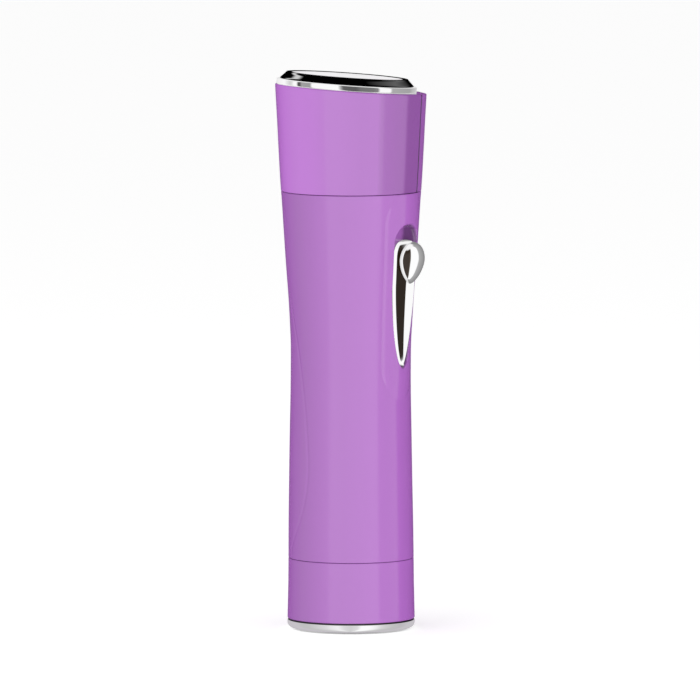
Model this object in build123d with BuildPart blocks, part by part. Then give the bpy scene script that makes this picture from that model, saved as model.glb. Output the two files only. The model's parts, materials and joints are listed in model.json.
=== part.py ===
"""Cordless epilator: charging base, handle with slide switch and motor, head with tweezer drum.

It stands upright. The origin is the centre of the underside of the foot and +Z runs up the
handle. The switch faces SWITCH_ANGLE round the handle. The top of the head slopes down
towards +X and slightly towards +Y. The drum axle lies along Y.
"""
from build123d import *
from math import sin, cos, radians
import os

os.makedirs("parts", exist_ok=True)

# ================================================================ driving dimensions
BASE_TOP = 19.4           # seam between base cap and handle
SEAM = 119.1              # seam between handle and head
DECK_Z = 113.5            # underside of the deck that closes the handle
SWITCH_ANGLE = -32.5      # direction of the switch round the handle, degrees from +X

TRACK_TILT = 2.4          # the slide leans outward going up, degrees
TRACK_RADIUS = 15.45      # pocket floor from the axis, at TRACK_Z
TRACK_Z = 73.9

RIM_TILT_X = 4.0          # slope of the rim down towards +X, degrees
RIM_TILT_Y = 1.3          # slope of the rim down towards +Y, degrees
RIM_X = -1.25             # the top trim is set towards the high side
RIM_Z = 147.0             # height of the rim plane at RIM_X

# Outer curves, as (radius, z)
HANDLE_CURVE = [
    (17.0, 19.4), (16.9, 27), (16.7, 37), (16.5, 48), (16.35, 56.7), (16.22, 64),
    (16.2, 72), (16.3, 78.5), (16.6, 83.9), (16.93, 89.4), (17.33, 94.8), (17.74, 100.3),
    (18.1, 105.7), (18.45, 111.2), (18.8, 116.6), (19.0, 119.1),
]
HEAD_CURVE = [
    (19.0, 119.1), (19.25, 123), (19.5, 127.5), (19.78, 132.9), (20.05, 138.4),
    (20.4, 144.6), (20.75, 152.0),
]
HEAD_TOP = HEAD_CURVE[-1][1]   # top of the head before the slanted rim cuts it

# Screws: three of each kind, evenly spaced on a circle
BASE_SCREW_CIRCLE, BASE_SCREW_START = 11.2, 90
DECK_SCREW_CIRCLE, DECK_SCREW_START = 12.0, 30
HEAD_SCREW_CIRCLE, HEAD_SCREW_START = 15.7, 0
BASE_SCREW_R = 1.0
DECK_SCREW_R = 0.9
HEAD_SCREW_R = 0.75
CROSS_LENGTH, CROSS_WIDTH = 2.0, 0.5   # cross recess in the screw heads

# Leads: distance out towards the switch and to either side of it
CHARGE_LEAD_OUT, CHARGE_LEAD_SIDE = 4.9, 3.0
MOTOR_LEAD_OUT, MOTOR_LEAD_SIDE = 6.6, 4.6

# ================================================================ planes and helpers
switch_cos, switch_sin = cos(radians(SWITCH_ANGLE)), sin(radians(SWITCH_ANGLE))
ACROSS = Vector(-switch_sin, switch_cos, 0)
# Upright plane through the axis, facing the switch: x across, y up
SWITCH = Plane(origin=(0, 0, 0), x_dir=ACROSS, z_dir=(switch_cos, switch_sin, 0))

tilt = radians(TRACK_TILT)
# Floor of the slide's pocket: x across, y up the track, z outward
TRACK = Plane(origin=(TRACK_RADIUS * switch_cos, TRACK_RADIUS * switch_sin, TRACK_Z),
              x_dir=ACROSS,
              z_dir=(switch_cos * cos(tilt), switch_sin * cos(tilt), -sin(tilt)))

rim_nx, rim_ny = sin(radians(RIM_TILT_X)), sin(radians(RIM_TILT_Y))
rim_nz = (1 - rim_nx ** 2 - rim_ny ** 2) ** 0.5
RIM = Plane(origin=(RIM_X, 0, RIM_Z), x_dir=(rim_nz, 0, -rim_nx), z_dir=(rim_nx, rim_ny, rim_nz))


def radial_plane(angle, shift=0.0):
    """Upright plane with x outward at angle and y up, its origin shifted outward."""
    out_x, out_y = cos(radians(angle)), sin(radians(angle))
    return Plane(origin=(shift * out_x, shift * out_y, 0), x_dir=(out_x, out_y, 0),
                 z_dir=(out_y, -out_x, 0))


def switch_point(out, across, z=0):
    """Point given by its distance towards the switch, across it, and its height."""
    return (out * switch_cos - across * switch_sin, out * switch_sin + across * switch_cos, z)


def screw_points(circle, start):
    """Centres of three screws on a circle about the axis."""
    angles = [radians(start + 120 * i) for i in range(3)]
    return [(circle * cos(angle), circle * sin(angle)) for angle in angles]


def save(builder, name):
    builder.part.label = name
    export_step(builder.part, f"parts/{name}.step")


def turned(name, profile):
    """Solid of revolution about Z from a closed (radius, z) profile."""
    with BuildPart() as piece:
        with BuildSketch(Plane.XZ):
            with BuildLine():
                Polyline(*profile)
            make_face()
        revolve(axis=Axis.Z)
    save(piece, name)


def tube(name, z, outer_r, inner_r, height):
    """Plain tube about Z."""
    with BuildPart() as piece:
        with BuildSketch(Plane.XY.offset(z)):
            Circle(outer_r)
            Circle(inner_r, mode=Mode.SUBTRACT)
        extrude(amount=height)
    save(piece, name)


def seal_ring(name, groove_r, cord_r, z):
    """Round-section ring that sits on the floor of a groove."""
    with BuildPart() as piece:
        with BuildSketch(Plane.XZ):
            with Locations((groove_r + cord_r, z)):
                Circle(cord_r)
        revolve(axis=Axis.Z)
    save(piece, name)


def screws(name, points, cylinders, recess=None):
    """Upright screws, each a stack of (z, radius, height) cylinders.

    recess is the (z, depth) of a cross cut in the head.
    """
    with BuildPart() as piece:
        for point in points:
            for z, radius, height in cylinders:
                with BuildSketch(Plane.XY.offset(z)):
                    with Locations(point):
                        Circle(radius)
                extrude(amount=height)
            if recess:
                with BuildSketch(Plane.XY.offset(recess[0])):
                    with Locations(point):
                        Rectangle(CROSS_LENGTH, CROSS_WIDTH)
                        Rectangle(CROSS_WIDTH, CROSS_LENGTH)
                extrude(amount=recess[1], mode=Mode.SUBTRACT)
    save(piece, name)


def lead(name, stations, side):
    """Insulated lead through (out, z) stations, at a fixed distance across the switch."""
    with BuildPart() as wire:
        with BuildLine() as path:
            Spline(*[switch_point(out, side, z) for out, z in stations])
        with BuildSketch(Plane(origin=path.line @ 0, z_dir=path.line % 0)):
            Circle(0.5)
        sweep()
    save(wire, name)


# ================================================================ base
PLATE_Z = 0.5              # underside of the base plate
PLATE_R = 15.4
PLATE_THICK = 2.4
GROOVE_OUTER_R, GROOVE_INNER_R = 13.4, 8.9   # groove in the plate that holds the foot
GROOVE_DEPTH = 0.9
FOOT_GAP = 0.05
SOCKET_R = 2.9
SOCKET_STEP_Z = 3.5        # the socket widens above this
SOCKET_HOLE_R = SOCKET_R + 0.05
CHARGE_BOARD_Z = 12.2
CHARGE_BOARD_THICK = 1.2
BOSS_Z = 3.55
BASE_SCREW_HEAD_Z, BASE_SCREW_HEAD_H = 1.4, 1.2

CAP_PROFILE = [            # (radius, z): skirt, seal groove in the spigot, floor
    (15.4, 2.9), (17.25, 2.9), (17.3, 3.3), (17.05, 13.0), (17.0, 19.0), (16.7, 19.4),
    (14.1, 19.4), (14.1, 21.0), (13.5, 21.0), (13.5, 22.3), (14.1, 22.3), (14.1, 24.0),
    (13.8, 24.3), (12.4, 24.3), (12.4, 16.6), (0, 16.6), (0, 14.4), (15.4, 14.4), (15.4, 2.9),
]
with BuildPart() as base_cap:
    with BuildSketch(Plane.XZ):
        with BuildLine():
            Polyline(*CAP_PROFILE)
        make_face()
    revolve(axis=Axis.Z)
    # bosses for the three closing screws, with their pilot holes
    with BuildSketch(Plane.XY.offset(BOSS_Z)):
        with PolarLocations(BASE_SCREW_CIRCLE, 3, start_angle=BASE_SCREW_START):
            Circle(2.5)
    extrude(amount=11.0)
    with BuildSketch(Plane.XY.offset(BOSS_Z)):
        with PolarLocations(BASE_SCREW_CIRCLE, 3, start_angle=BASE_SCREW_START):
            Circle(BASE_SCREW_R)
    extrude(amount=6.2, mode=Mode.SUBTRACT)
    # passages for the charging leads through the floor
    with BuildSketch(Plane.XY.offset(14.0)):
        with Locations(switch_point(CHARGE_LEAD_OUT, CHARGE_LEAD_SIDE),
                       switch_point(CHARGE_LEAD_OUT, -CHARGE_LEAD_SIDE)):
            Circle(1.4)
    extrude(amount=4.0, mode=Mode.SUBTRACT)
save(base_cap, "base_cap")

turned("base_trim_ring", [
    (15.45, 0.45), (16.4, 0.35), (17.05, 0.75), (17.3, 1.25), (17.3, 2.6), (17.1, 2.88),
    (15.45, 2.88), (15.45, 0.45),
])

base_screw_points = screw_points(BASE_SCREW_CIRCLE, BASE_SCREW_START)
with BuildPart() as base_plate:
    with BuildSketch(Plane.XY.offset(PLATE_Z)):
        Circle(PLATE_R)
        Circle(SOCKET_HOLE_R, mode=Mode.SUBTRACT)
    extrude(amount=PLATE_THICK)
    # step that enters the cap
    with BuildSketch(Plane.XY.offset(PLATE_Z + PLATE_THICK)):
        Circle(PLATE_R - 0.1)
        Circle(SOCKET_HOLE_R, mode=Mode.SUBTRACT)
    extrude(amount=0.6)
    # low boss round the charging socket
    with BuildSketch(Plane.XY.offset(PLATE_Z - 0.45)):
        Circle(4.4)
        Circle(SOCKET_HOLE_R, mode=Mode.SUBTRACT)
    extrude(amount=0.45)
    # groove of the foot
    with BuildSketch(Plane.XY.offset(PLATE_Z)):
        Circle(GROOVE_OUTER_R)
        Circle(GROOVE_INNER_R, mode=Mode.SUBTRACT)
    extrude(amount=GROOVE_DEPTH, mode=Mode.SUBTRACT)
    # screw holes and the recesses for their heads
    with Locations(*[(x, y, 3.5) for x, y in base_screw_points]):
        Hole(BASE_SCREW_R + 0.05, depth=3.2)
    with BuildSketch(Plane.XY.offset(1.3)):
        with PolarLocations(BASE_SCREW_CIRCLE, 3, start_angle=BASE_SCREW_START):
            Circle(1.95)
    extrude(amount=1.3, mode=Mode.SUBTRACT)
save(base_plate, "base_plate")

with BuildPart() as base_foot:
    with BuildSketch(Plane.XY):
        Circle(GROOVE_OUTER_R - FOOT_GAP)
        Circle(GROOVE_INNER_R + FOOT_GAP, mode=Mode.SUBTRACT)
    extrude(amount=PLATE_Z + GROOVE_DEPTH - FOOT_GAP)
    chamfer(base_foot.edges().filter_by(GeomType.CIRCLE).group_by(Axis.Z)[0], length=0.3)
save(base_foot, "base_foot")

screws("base_screws", base_screw_points,
       cylinders=[(BASE_SCREW_HEAD_Z, 1.85, BASE_SCREW_HEAD_H),
                  (BASE_SCREW_HEAD_Z + BASE_SCREW_HEAD_H, BASE_SCREW_R, 6.8)],
       recess=(BASE_SCREW_HEAD_Z, 0.7))

seal_ring("base_seal", groove_r=13.5, cord_r=0.34, z=21.65)

with BuildPart() as charge_socket:
    with BuildSketch(Plane.XY):
        Circle(SOCKET_R)
    extrude(amount=SOCKET_STEP_Z)
    with BuildSketch(Plane.XY.offset(SOCKET_STEP_Z)):
        Circle(4.2)
    extrude(amount=CHARGE_BOARD_Z - SOCKET_STEP_Z)
    with BuildSketch(Plane.XY):
        Circle(1.8)
    extrude(amount=9.9, mode=Mode.SUBTRACT)
save(charge_socket, "charge_socket")

with BuildPart() as charge_board:
    with BuildSketch(Plane.XY.offset(CHARGE_BOARD_Z)):
        Rectangle(13.8, 13.8)
    extrude(amount=CHARGE_BOARD_THICK)
    fillet(charge_board.edges().filter_by(Axis.Z), radius=1.0)
    # two components
    with BuildSketch(Plane.XY.offset(CHARGE_BOARD_Z + CHARGE_BOARD_THICK)):
        with Locations((-4.5, -4.5)):
            Rectangle(3.2, 2.4)
        with Locations((-4.8, 3.5)):
            Rectangle(1.6, 0.9)
    extrude(amount=0.9)
save(charge_board, "charge_board")

# ================================================================ handle shell
BORE_R = 14.2
DECK_BORE_R = 17.2         # counterbore for the deck
# Pad round the switch: the handle curve turned about an axis shifted towards the switch
PAD_SHIFT = 4.2
PAD_SWELL = 0.6            # reached PAD_RISE above PAD_RISE_Z; half as much sunk in below
PAD_START_Z = 56
PAD_RISE_Z, PAD_RISE = 64.0, 9.0
# Swell opposite the switch, fullest at BACK_MID_Z
BACK_SHIFT = 0.9
BACK_SWELL = 0.55
BACK_SINK = 0.02
BACK_END_Z = 108
BACK_MID_Z, BACK_HALF_SPAN = 56.0, 41.0

# Slide and its pocket, in TRACK coordinates: x across, y up the track
TRAVEL = 3.2
SHOULDER_Y = 20.0          # full width from here upward
SLIDE_HALF, SLIDE_ARC_Y = 5.0, 27.6
POCKET_HALF, POCKET_ARC_Y = 5.3, SLIDE_ARC_Y + TRAVEL
POCKET_TIP_HALF, POCKET_TIP_Y = 2.5, -1.4

pad_points = [
    (r - PAD_SHIFT + PAD_SWELL * min(1.0, max(-0.5, (z - PAD_RISE_Z) / PAD_RISE)), z)
    for r, z in HANDLE_CURVE if z >= PAD_START_Z
]
back_points = [
    (r - BACK_SHIFT + BACK_SWELL * (1 - ((z - BACK_MID_Z) / BACK_HALF_SPAN) ** 2) - BACK_SINK, z)
    for r, z in HANDLE_CURVE if z <= BACK_END_Z
]
pad_plane = radial_plane(SWITCH_ANGLE, PAD_SHIFT)
back_plane = radial_plane(SWITCH_ANGLE + 180, BACK_SHIFT)

with BuildPart() as handle_shell:
    with BuildSketch(Plane.XZ):
        with BuildLine():
            Spline(*HANDLE_CURVE)
            Polyline(HANDLE_CURVE[-1], (0, SEAM), (0, BASE_TOP), HANDLE_CURVE[0])
        make_face()
    revolve(axis=Axis.Z)
    # pad that carries the switch
    with BuildSketch(pad_plane):
        with BuildLine():
            Spline(*pad_points)
            Polyline(pad_points[-1], (0, SEAM), (0, pad_points[0][1]), pad_points[0])
        make_face()
    revolve(axis=Axis(pad_plane.origin, (0, 0, 1)))
    # low swell opposite the switch
    with BuildSketch(back_plane):
        with BuildLine():
            Spline(*back_points)
            Polyline(back_points[-1], (0, back_points[-1][1]), (0, BASE_TOP), back_points[0])
        make_face()
    revolve(axis=Axis(back_plane.origin, (0, 0, 1)))
    # bore, and counterbore for the deck
    with BuildSketch(Plane.XY.offset(BASE_TOP)):
        Circle(BORE_R)
    extrude(amount=DECK_Z - BASE_TOP, mode=Mode.SUBTRACT)
    with BuildSketch(Plane.XY.offset(DECK_Z)):
        Circle(DECK_BORE_R)
    extrude(amount=SEAM - DECK_Z, mode=Mode.SUBTRACT)
    # pocket of the slide, walls leaning outward
    with BuildSketch(TRACK):
        with BuildLine():
            CenterArc((0, POCKET_ARC_Y), POCKET_HALF, 0, 180)
            Line((-POCKET_HALF, POCKET_ARC_Y), (-POCKET_HALF, SHOULDER_Y))
            Line((-POCKET_HALF, SHOULDER_Y), (-POCKET_TIP_HALF, POCKET_TIP_Y))
            ThreePointArc((-POCKET_TIP_HALF, POCKET_TIP_Y), (0, -3.0),
                          (POCKET_TIP_HALF, POCKET_TIP_Y))
            Line((POCKET_TIP_HALF, POCKET_TIP_Y), (POCKET_HALF, SHOULDER_Y))
            Line((POCKET_HALF, SHOULDER_Y), (POCKET_HALF, POCKET_ARC_Y))
        make_face()
    extrude(amount=6.0, taper=-24, mode=Mode.SUBTRACT)
    # slot under the slide for its carrier
    with BuildSketch(TRACK.offset(-4)):
        with Locations((0, 80.6 - TRACK_Z)):
            RectangleRounded(2.6, 7.0, 0.6)
    extrude(amount=6.0, mode=Mode.SUBTRACT)
save(handle_shell, "handle_shell")

# ================================================================ slide switch, moving pieces
SLIDE_GAP = 0.12           # underside of the slide above the pocket floor
# Upper face of the slide, a straight slope given as (y up the track, height above the floor)
FACE_LOW = (-6, 1.25)
FACE_HIGH = (34, 2.75)
FACE_CLEAR = 6             # top of the block that trims the face
# Flank and tip of the slide, on its +x side
FLANK_TOP, FLANK_MID, FLANK_END = (4.95, SHOULDER_Y), (3.85, 9.8), (1.45, -0.4)
LEVER_Z = 78.8             # height of the switch lever

with BuildPart() as switch_slider:
    with BuildSketch(TRACK.offset(SLIDE_GAP)):
        with BuildLine():
            CenterArc((0, SLIDE_ARC_Y), SLIDE_HALF, 0, 180)
            Line((-SLIDE_HALF, SLIDE_ARC_Y), (-FLANK_TOP[0], FLANK_TOP[1]))
            ThreePointArc((-FLANK_TOP[0], FLANK_TOP[1]), (-FLANK_MID[0], FLANK_MID[1]),
                          (-FLANK_END[0], FLANK_END[1]))
            ThreePointArc((-FLANK_END[0], FLANK_END[1]), (0, -1.5), FLANK_END)
            ThreePointArc(FLANK_END, FLANK_MID, FLANK_TOP)
            Line(FLANK_TOP, (SLIDE_HALF, SLIDE_ARC_Y))
        make_face()
    extrude(amount=3.4)
    # upper face falls towards the tip
    with BuildSketch(Plane(origin=TRACK.origin, x_dir=TRACK.y_dir, z_dir=TRACK.x_dir)):
        with BuildLine():
            Polyline(FACE_LOW, FACE_HIGH, (FACE_HIGH[0], FACE_CLEAR),
                     (FACE_LOW[0], FACE_CLEAR), FACE_LOW)
        make_face()
    extrude(amount=8, both=True, mode=Mode.SUBTRACT)
    top_face = switch_slider.faces().filter_by(GeomType.PLANE).sort_by(
        lambda face: (face.center() - TRACK.origin).dot(TRACK.z_dir))[-1]
    chamfer(top_face.edges(), length=0.6)
save(switch_slider, "switch_slider")

# Thumb knob: half of a drop turned about a line on the slide's upper face
KNOB_Y = 20.2              # lower end of the knob, up the track
KNOB_CURVE = [             # (distance along the knob, radius)
    (0, 0.0), (1.1, 1.45), (3.8, 3.2), (7.6, 4.35), (10.8, 3.1), (12.0, 0.0),
]
face_slope = (FACE_HIGH[1] - FACE_LOW[1]) / (FACE_HIGH[0] - FACE_LOW[0])
KNOB = Plane(
    origin=TRACK.from_local_coords((0, KNOB_Y, FACE_LOW[1] + face_slope * (KNOB_Y - FACE_LOW[0]))),
    x_dir=(TRACK.y_dir + TRACK.z_dir * face_slope).normalized(),
    z_dir=-TRACK.x_dir)
with BuildPart() as switch_knob:
    with BuildSketch(KNOB):
        with BuildLine():
            Spline(*KNOB_CURVE, tangents=[(0.35, 1), (0, -1)])
            Line(KNOB_CURVE[-1], KNOB_CURVE[0])
        make_face()
    revolve(axis=Axis(KNOB.origin, KNOB.x_dir))
    # keep what stands above the slide's upper face (KNOB.y_dir points inward)
    split(bisect_by=Plane(origin=KNOB.origin, x_dir=KNOB.x_dir, z_dir=KNOB.y_dir),
          keep=Keep.BOTTOM)
save(switch_knob, "switch_knob")

NECK_DEPTH = 3.4           # foot of the neck below the pocket floor
FORK_DEPTH = 5.8           # inner face of the fork block below the pocket floor
FORK_Z = 78.59
with BuildPart() as slider_carrier:
    # neck through the slot up to the underside of the slide
    with BuildSketch(TRACK.offset(-NECK_DEPTH)):
        with Locations((0, LEVER_Z - TRACK_Z)):
            Rectangle(2.0, 3.0)
    extrude(amount=NECK_DEPTH + SLIDE_GAP)
    # fork block inside the handle
    with BuildSketch(TRACK.offset(-FORK_DEPTH)):
        with Locations((0, FORK_Z - TRACK_Z)):
            Rectangle(6.0, 3.4)
    extrude(amount=3.0)
    with BuildSketch(TRACK.offset(-FORK_DEPTH)):
        with Locations((0, FORK_Z - TRACK_Z)):
            Rectangle(2.1, 1.9)
    extrude(amount=1.9, mode=Mode.SUBTRACT)
save(slider_carrier, "slider_carrier")

# ================================================================ electrics
BOARD_INNER, BOARD_OUTER = 3.1, 4.3   # board faces, distance towards the switch
CELL_R = 7.0
CELL_Z = 30.6
CELL_LENGTH = 48.6
CELL_TERMINAL_H = 1.0
CELL_TOP = CELL_Z + CELL_LENGTH
CONTACT_THICK = 0.4
CONTACT_GAP = 0.05
CELL_CENTRE = switch_point(-5.3, 0)[:2]
MOTOR_R = 10.0
MOTOR_BAY_Z = 88.0

with BuildPart() as circuit_board:
    with BuildSketch(SWITCH.offset(BOARD_INNER)):
        with Locations((0, 57.5)):
            RectangleRounded(19.0, 55.0, 1.0)
    extrude(amount=BOARD_OUTER - BOARD_INNER)
    # components on the outer face
    with BuildSketch(SWITCH.offset(BOARD_OUTER)):
        with Locations((-4.5, 45.0)):
            Rectangle(5.0, 5.0)
        with Locations((4.5, 47.0), (4.5, 42.0)):
            Rectangle(3.2, 1.7)
        with Locations((5.5, 62.0)):
            Rectangle(2.4, 4.0)
    extrude(amount=1.1)
save(circuit_board, "circuit_board")

with BuildPart() as slide_switch_body:
    with BuildSketch(SWITCH.offset(BOARD_OUTER)):
        with Locations((0, 80.4)):
            Rectangle(5.4, 10.8)
    extrude(amount=3.2)
    # opening the lever moves in
    with BuildSketch(SWITCH.offset(BOARD_OUTER + 1.0)):
        with Locations((0, 80.5)):
            Rectangle(2.2, 6.6)
    extrude(amount=2.4, mode=Mode.SUBTRACT)
save(slide_switch_body, "slide_switch_body")

with BuildPart() as switch_lever:
    with BuildSketch(SWITCH.offset(BOARD_OUTER + 1.2)):
        with Locations((0, LEVER_Z)):
            Rectangle(2.0, 1.4)
    extrude(amount=6.0)
save(switch_lever, "switch_lever")

with BuildPart() as battery_cell:
    with BuildSketch(Plane.XY.offset(CELL_Z)):
        with Locations(CELL_CENTRE):
            Circle(CELL_R)
    extrude(amount=CELL_LENGTH)
    with BuildSketch(Plane.XY.offset(CELL_TOP)):
        with Locations(CELL_CENTRE):
            Circle(2.6)
    extrude(amount=CELL_TERMINAL_H)
    chamfer(battery_cell.edges().filter_by(GeomType.CIRCLE).filter_by(
        lambda edge: abs(edge.radius - CELL_R) < 0.01), length=0.4)
save(battery_cell, "battery_cell")

for name, contact_z in (
    ("battery_contact_top", CELL_TOP + CELL_TERMINAL_H + CONTACT_GAP),
    ("battery_contact_base", CELL_Z - CONTACT_GAP - CONTACT_THICK),
):
    with BuildPart() as contact:
        with BuildSketch(Plane.XY.offset(contact_z)):
            with Locations(CELL_CENTRE):
                Rectangle(8.0, 6.0, rotation=SWITCH_ANGLE)
        extrude(amount=CONTACT_THICK)
    save(contact, name)

with BuildPart() as inner_chassis:
    with BuildSketch(Plane.XY.offset(26.0)):
        Circle(13.9)
    extrude(amount=87.4)
    # bay of the motor, open at the top
    with BuildSketch(Plane.XY.offset(MOTOR_BAY_Z)):
        Circle(MOTOR_R + 0.1)
    extrude(amount=26.0, mode=Mode.SUBTRACT)
    # bay of the cell
    with BuildSketch(Plane.XY.offset(30.1)):
        with Locations(CELL_CENTRE):
            Circle(CELL_R + 0.15)
    extrude(amount=50.6, mode=Mode.SUBTRACT)
    # flat side for the board
    with BuildSketch(SWITCH.offset(BOARD_INNER - 0.02)):
        with Locations((0, 56.2)):
            Rectangle(40, 60.4)
    extrude(amount=14, mode=Mode.SUBTRACT)
    # passages for the motor leads
    with BuildSketch(Plane.XY.offset(85.0)):
        with Locations(switch_point(MOTOR_LEAD_OUT, MOTOR_LEAD_SIDE),
                       switch_point(MOTOR_LEAD_OUT, -MOTOR_LEAD_SIDE)):
            Circle(0.9)
    extrude(amount=4.0, mode=Mode.SUBTRACT)
    # pilot holes of the deck screws
    with BuildSketch(Plane.XY.offset(105.5)):
        with PolarLocations(DECK_SCREW_CIRCLE, 3, start_angle=DECK_SCREW_START):
            Circle(DECK_SCREW_R)
    extrude(amount=8.0, mode=Mode.SUBTRACT)
save(inner_chassis, "inner_chassis")

# Lead stations, as (out towards the switch, z)
MOTOR_LEAD = [(4.95, 71.0), (5.9, 79.0), (MOTOR_LEAD_OUT, 86.5), (MOTOR_LEAD_OUT, MOTOR_BAY_Z)]
CHARGE_LEAD = [(CHARGE_LEAD_OUT, 13.45), (CHARGE_LEAD_OUT, 17.0), (5.3, 25.0), (4.85, 34.0)]
for pole, side in (("plus", 1), ("minus", -1)):
    lead(f"motor_lead_{pole}", MOTOR_LEAD, side * MOTOR_LEAD_SIDE)
    lead(f"charge_lead_{pole}", CHARGE_LEAD, side * CHARGE_LEAD_SIDE)

# ================================================================ motor
SHAFT_R = 1.0
SHAFT_Z = 88.6
SHAFT_LENGTH = 28.0
MOTOR_BORE_R = SHAFT_R + 0.06
DOG_Z = 112.2
DOG_R = 3.0

turned("motor_can", [
    (9.2, 90.4), (MOTOR_R, 90.4), (MOTOR_R, 109.6), (9.4, 110.2), (3.0, 110.2), (3.0, 111.6),
    (MOTOR_BORE_R, 111.6), (MOTOR_BORE_R, 109.2), (9.2, 109.2), (9.2, 90.4),
])

turned("motor_end_cap", [
    (MOTOR_BORE_R, 88.05), (MOTOR_R, 88.05), (MOTOR_R, 90.4), (9.15, 90.4), (9.15, 91.6),
    (MOTOR_BORE_R, 91.6), (MOTOR_BORE_R, 88.05),
])

with BuildPart() as motor_magnets:
    with BuildSketch(Plane.XY.offset(93.5)):
        Circle(9.15)
        Circle(7.3, mode=Mode.SUBTRACT)
        # parts the ring into two magnets
        Rectangle(6.0, 30.0, mode=Mode.SUBTRACT)
    extrude(amount=14.0)
save(motor_magnets, "motor_magnets")

with BuildPart() as motor_armature:
    with BuildSketch(Plane.XY.offset(94.0)):
        Circle(6.8)
        Circle(SHAFT_R, mode=Mode.SUBTRACT)
        with PolarLocations(6.4, 3, start_angle=30):
            RectangleRounded(3.2, 1.4, 0.4, mode=Mode.SUBTRACT)
    extrude(amount=13.0)
save(motor_armature, "motor_armature")

with BuildPart() as motor_shaft:
    with BuildSketch(Plane.XY.offset(SHAFT_Z)):
        Circle(SHAFT_R)
    extrude(amount=SHAFT_LENGTH)
save(motor_shaft, "motor_shaft")

with BuildPart() as drive_dog:
    with BuildSketch(Plane.XY.offset(DOG_Z)):
        Circle(DOG_R)
    extrude(amount=8.6)
    with BuildSketch(Plane.XY.offset(DOG_Z)):
        Circle(SHAFT_R)
    extrude(amount=SHAFT_Z + SHAFT_LENGTH - DOG_Z, mode=Mode.SUBTRACT)
    # slot for the tongue of the head's drive shaft
    with BuildSketch(Plane.XY.offset(117.6)):
        Rectangle(7.0, 1.3)
    extrude(amount=4.0, mode=Mode.SUBTRACT)
save(drive_dog, "drive_dog")

# ================================================================ deck
DECK_FLOOR_Z = 118.2       # the deck screws' heads rest here
DECK_SCREW_Z = 106.0
BUSH_SEAT_Z, BUSH_SEAT_R = 114.1, 4.6

DECK_PROFILE = [           # (radius, z): rim with seal groove, floor, bush seat
    (3.2, 113.5), (17.15, 113.5), (17.15, 119.1), (16.9, 119.1), (16.9, 120.6), (16.1, 120.6),
    (16.1, 122.1), (16.9, 122.1), (16.9, 123.4), (16.6, 123.7), (14.4, 123.7), (14.4, 118.2),
    (5.6, 118.2), (5.6, 119.0), (3.2, 119.0), (3.2, 118.4), (4.6, 118.4), (4.6, 114.1),
    (3.2, 114.1), (3.2, 113.5),
]
with BuildPart() as top_deck:
    with BuildSketch(Plane.XZ):
        with BuildLine():
            Polyline(*DECK_PROFILE)
        make_face()
    revolve(axis=Axis.Z)
    with BuildSketch(Plane.XY.offset(113.0)):
        with PolarLocations(DECK_SCREW_CIRCLE, 3, start_angle=DECK_SCREW_START):
            Circle(DECK_SCREW_R + 0.15)
    extrude(amount=6.0, mode=Mode.SUBTRACT)
save(top_deck, "top_deck")

tube("deck_bush", z=BUSH_SEAT_Z, outer_r=BUSH_SEAT_R, inner_r=DOG_R + 0.06, height=2.4)
tube("shaft_seal", z=116.55, outer_r=BUSH_SEAT_R, inner_r=DOG_R + 0.04, height=1.8)

screws("deck_screws", screw_points(DECK_SCREW_CIRCLE, DECK_SCREW_START),
       cylinders=[(DECK_SCREW_Z, DECK_SCREW_R, DECK_FLOOR_Z - DECK_SCREW_Z),
                  (DECK_FLOOR_Z, 1.8, 1.3)],
       recess=(DECK_FLOOR_Z + 0.7, 0.8))

seal_ring("head_seal", groove_r=16.1, cord_r=0.44, z=121.35)

# ================================================================ head shell and trim
PANEL_HALF_ANGLE = 21.5    # front panel, either side of +X
REBATE_HALF_ANGLE = PANEL_HALF_ANGLE + 0.3
TRIM_R = 19.05
TRIM_THICK = 1.5

CAVITY_PROFILE = [         # (radius, z), with the flange at z 127.0 to 128.6
    (0, 110), (17.0, 110), (17.0, 125.0), (17.2, 127.0), (14.6, 127.0), (14.6, 128.6),
    (17.4, 128.6), (18.1, 139.0), (18.6, 152.0), (0, 152.0), (0, 110),
]
with BuildPart() as head_cavity:
    with BuildSketch(Plane.XZ):
        with BuildLine():
            Polyline(*CAVITY_PROFILE)
        make_face()
    revolve(axis=Axis.Z)
    split(bisect_by=RIM.offset(-1.9), keep=Keep.BOTTOM)

with BuildPart() as head_shell:
    with BuildSketch(Plane.XZ):
        with BuildLine():
            Spline(*HEAD_CURVE)
            Polyline(HEAD_CURVE[-1], (0, HEAD_TOP), (0, SEAM), HEAD_CURVE[0])
        make_face()
    revolve(axis=Axis.Z)
    split(bisect_by=RIM, keep=Keep.BOTTOM)
    add(head_cavity.part, mode=Mode.SUBTRACT)
    # opening in the top
    with BuildSketch(RIM.offset(-4)):
        Circle(15.3)
    extrude(amount=6.0, mode=Mode.SUBTRACT)
    # rebate of the front panel, on the low side
    with BuildSketch(radial_plane(-REBATE_HALF_ANGLE)):
        with BuildLine():
            Polyline((17.95, SEAM - 0.5), (30, SEAM - 0.5), (30, HEAD_TOP), (19.45, HEAD_TOP),
                     (17.95, SEAM - 0.5))
        make_face()
    revolve(axis=Axis.Z, revolution_arc=2 * REBATE_HALF_ANGLE, mode=Mode.SUBTRACT)
    # holes of the screws that hold the inner frame to the flange
    with BuildSketch(Plane.XY.offset(126.0)):
        with PolarLocations(HEAD_SCREW_CIRCLE, 3, start_angle=HEAD_SCREW_START):
            Circle(HEAD_SCREW_R)
    extrude(amount=3.5, mode=Mode.SUBTRACT)
save(head_shell, "head_shell")

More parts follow.
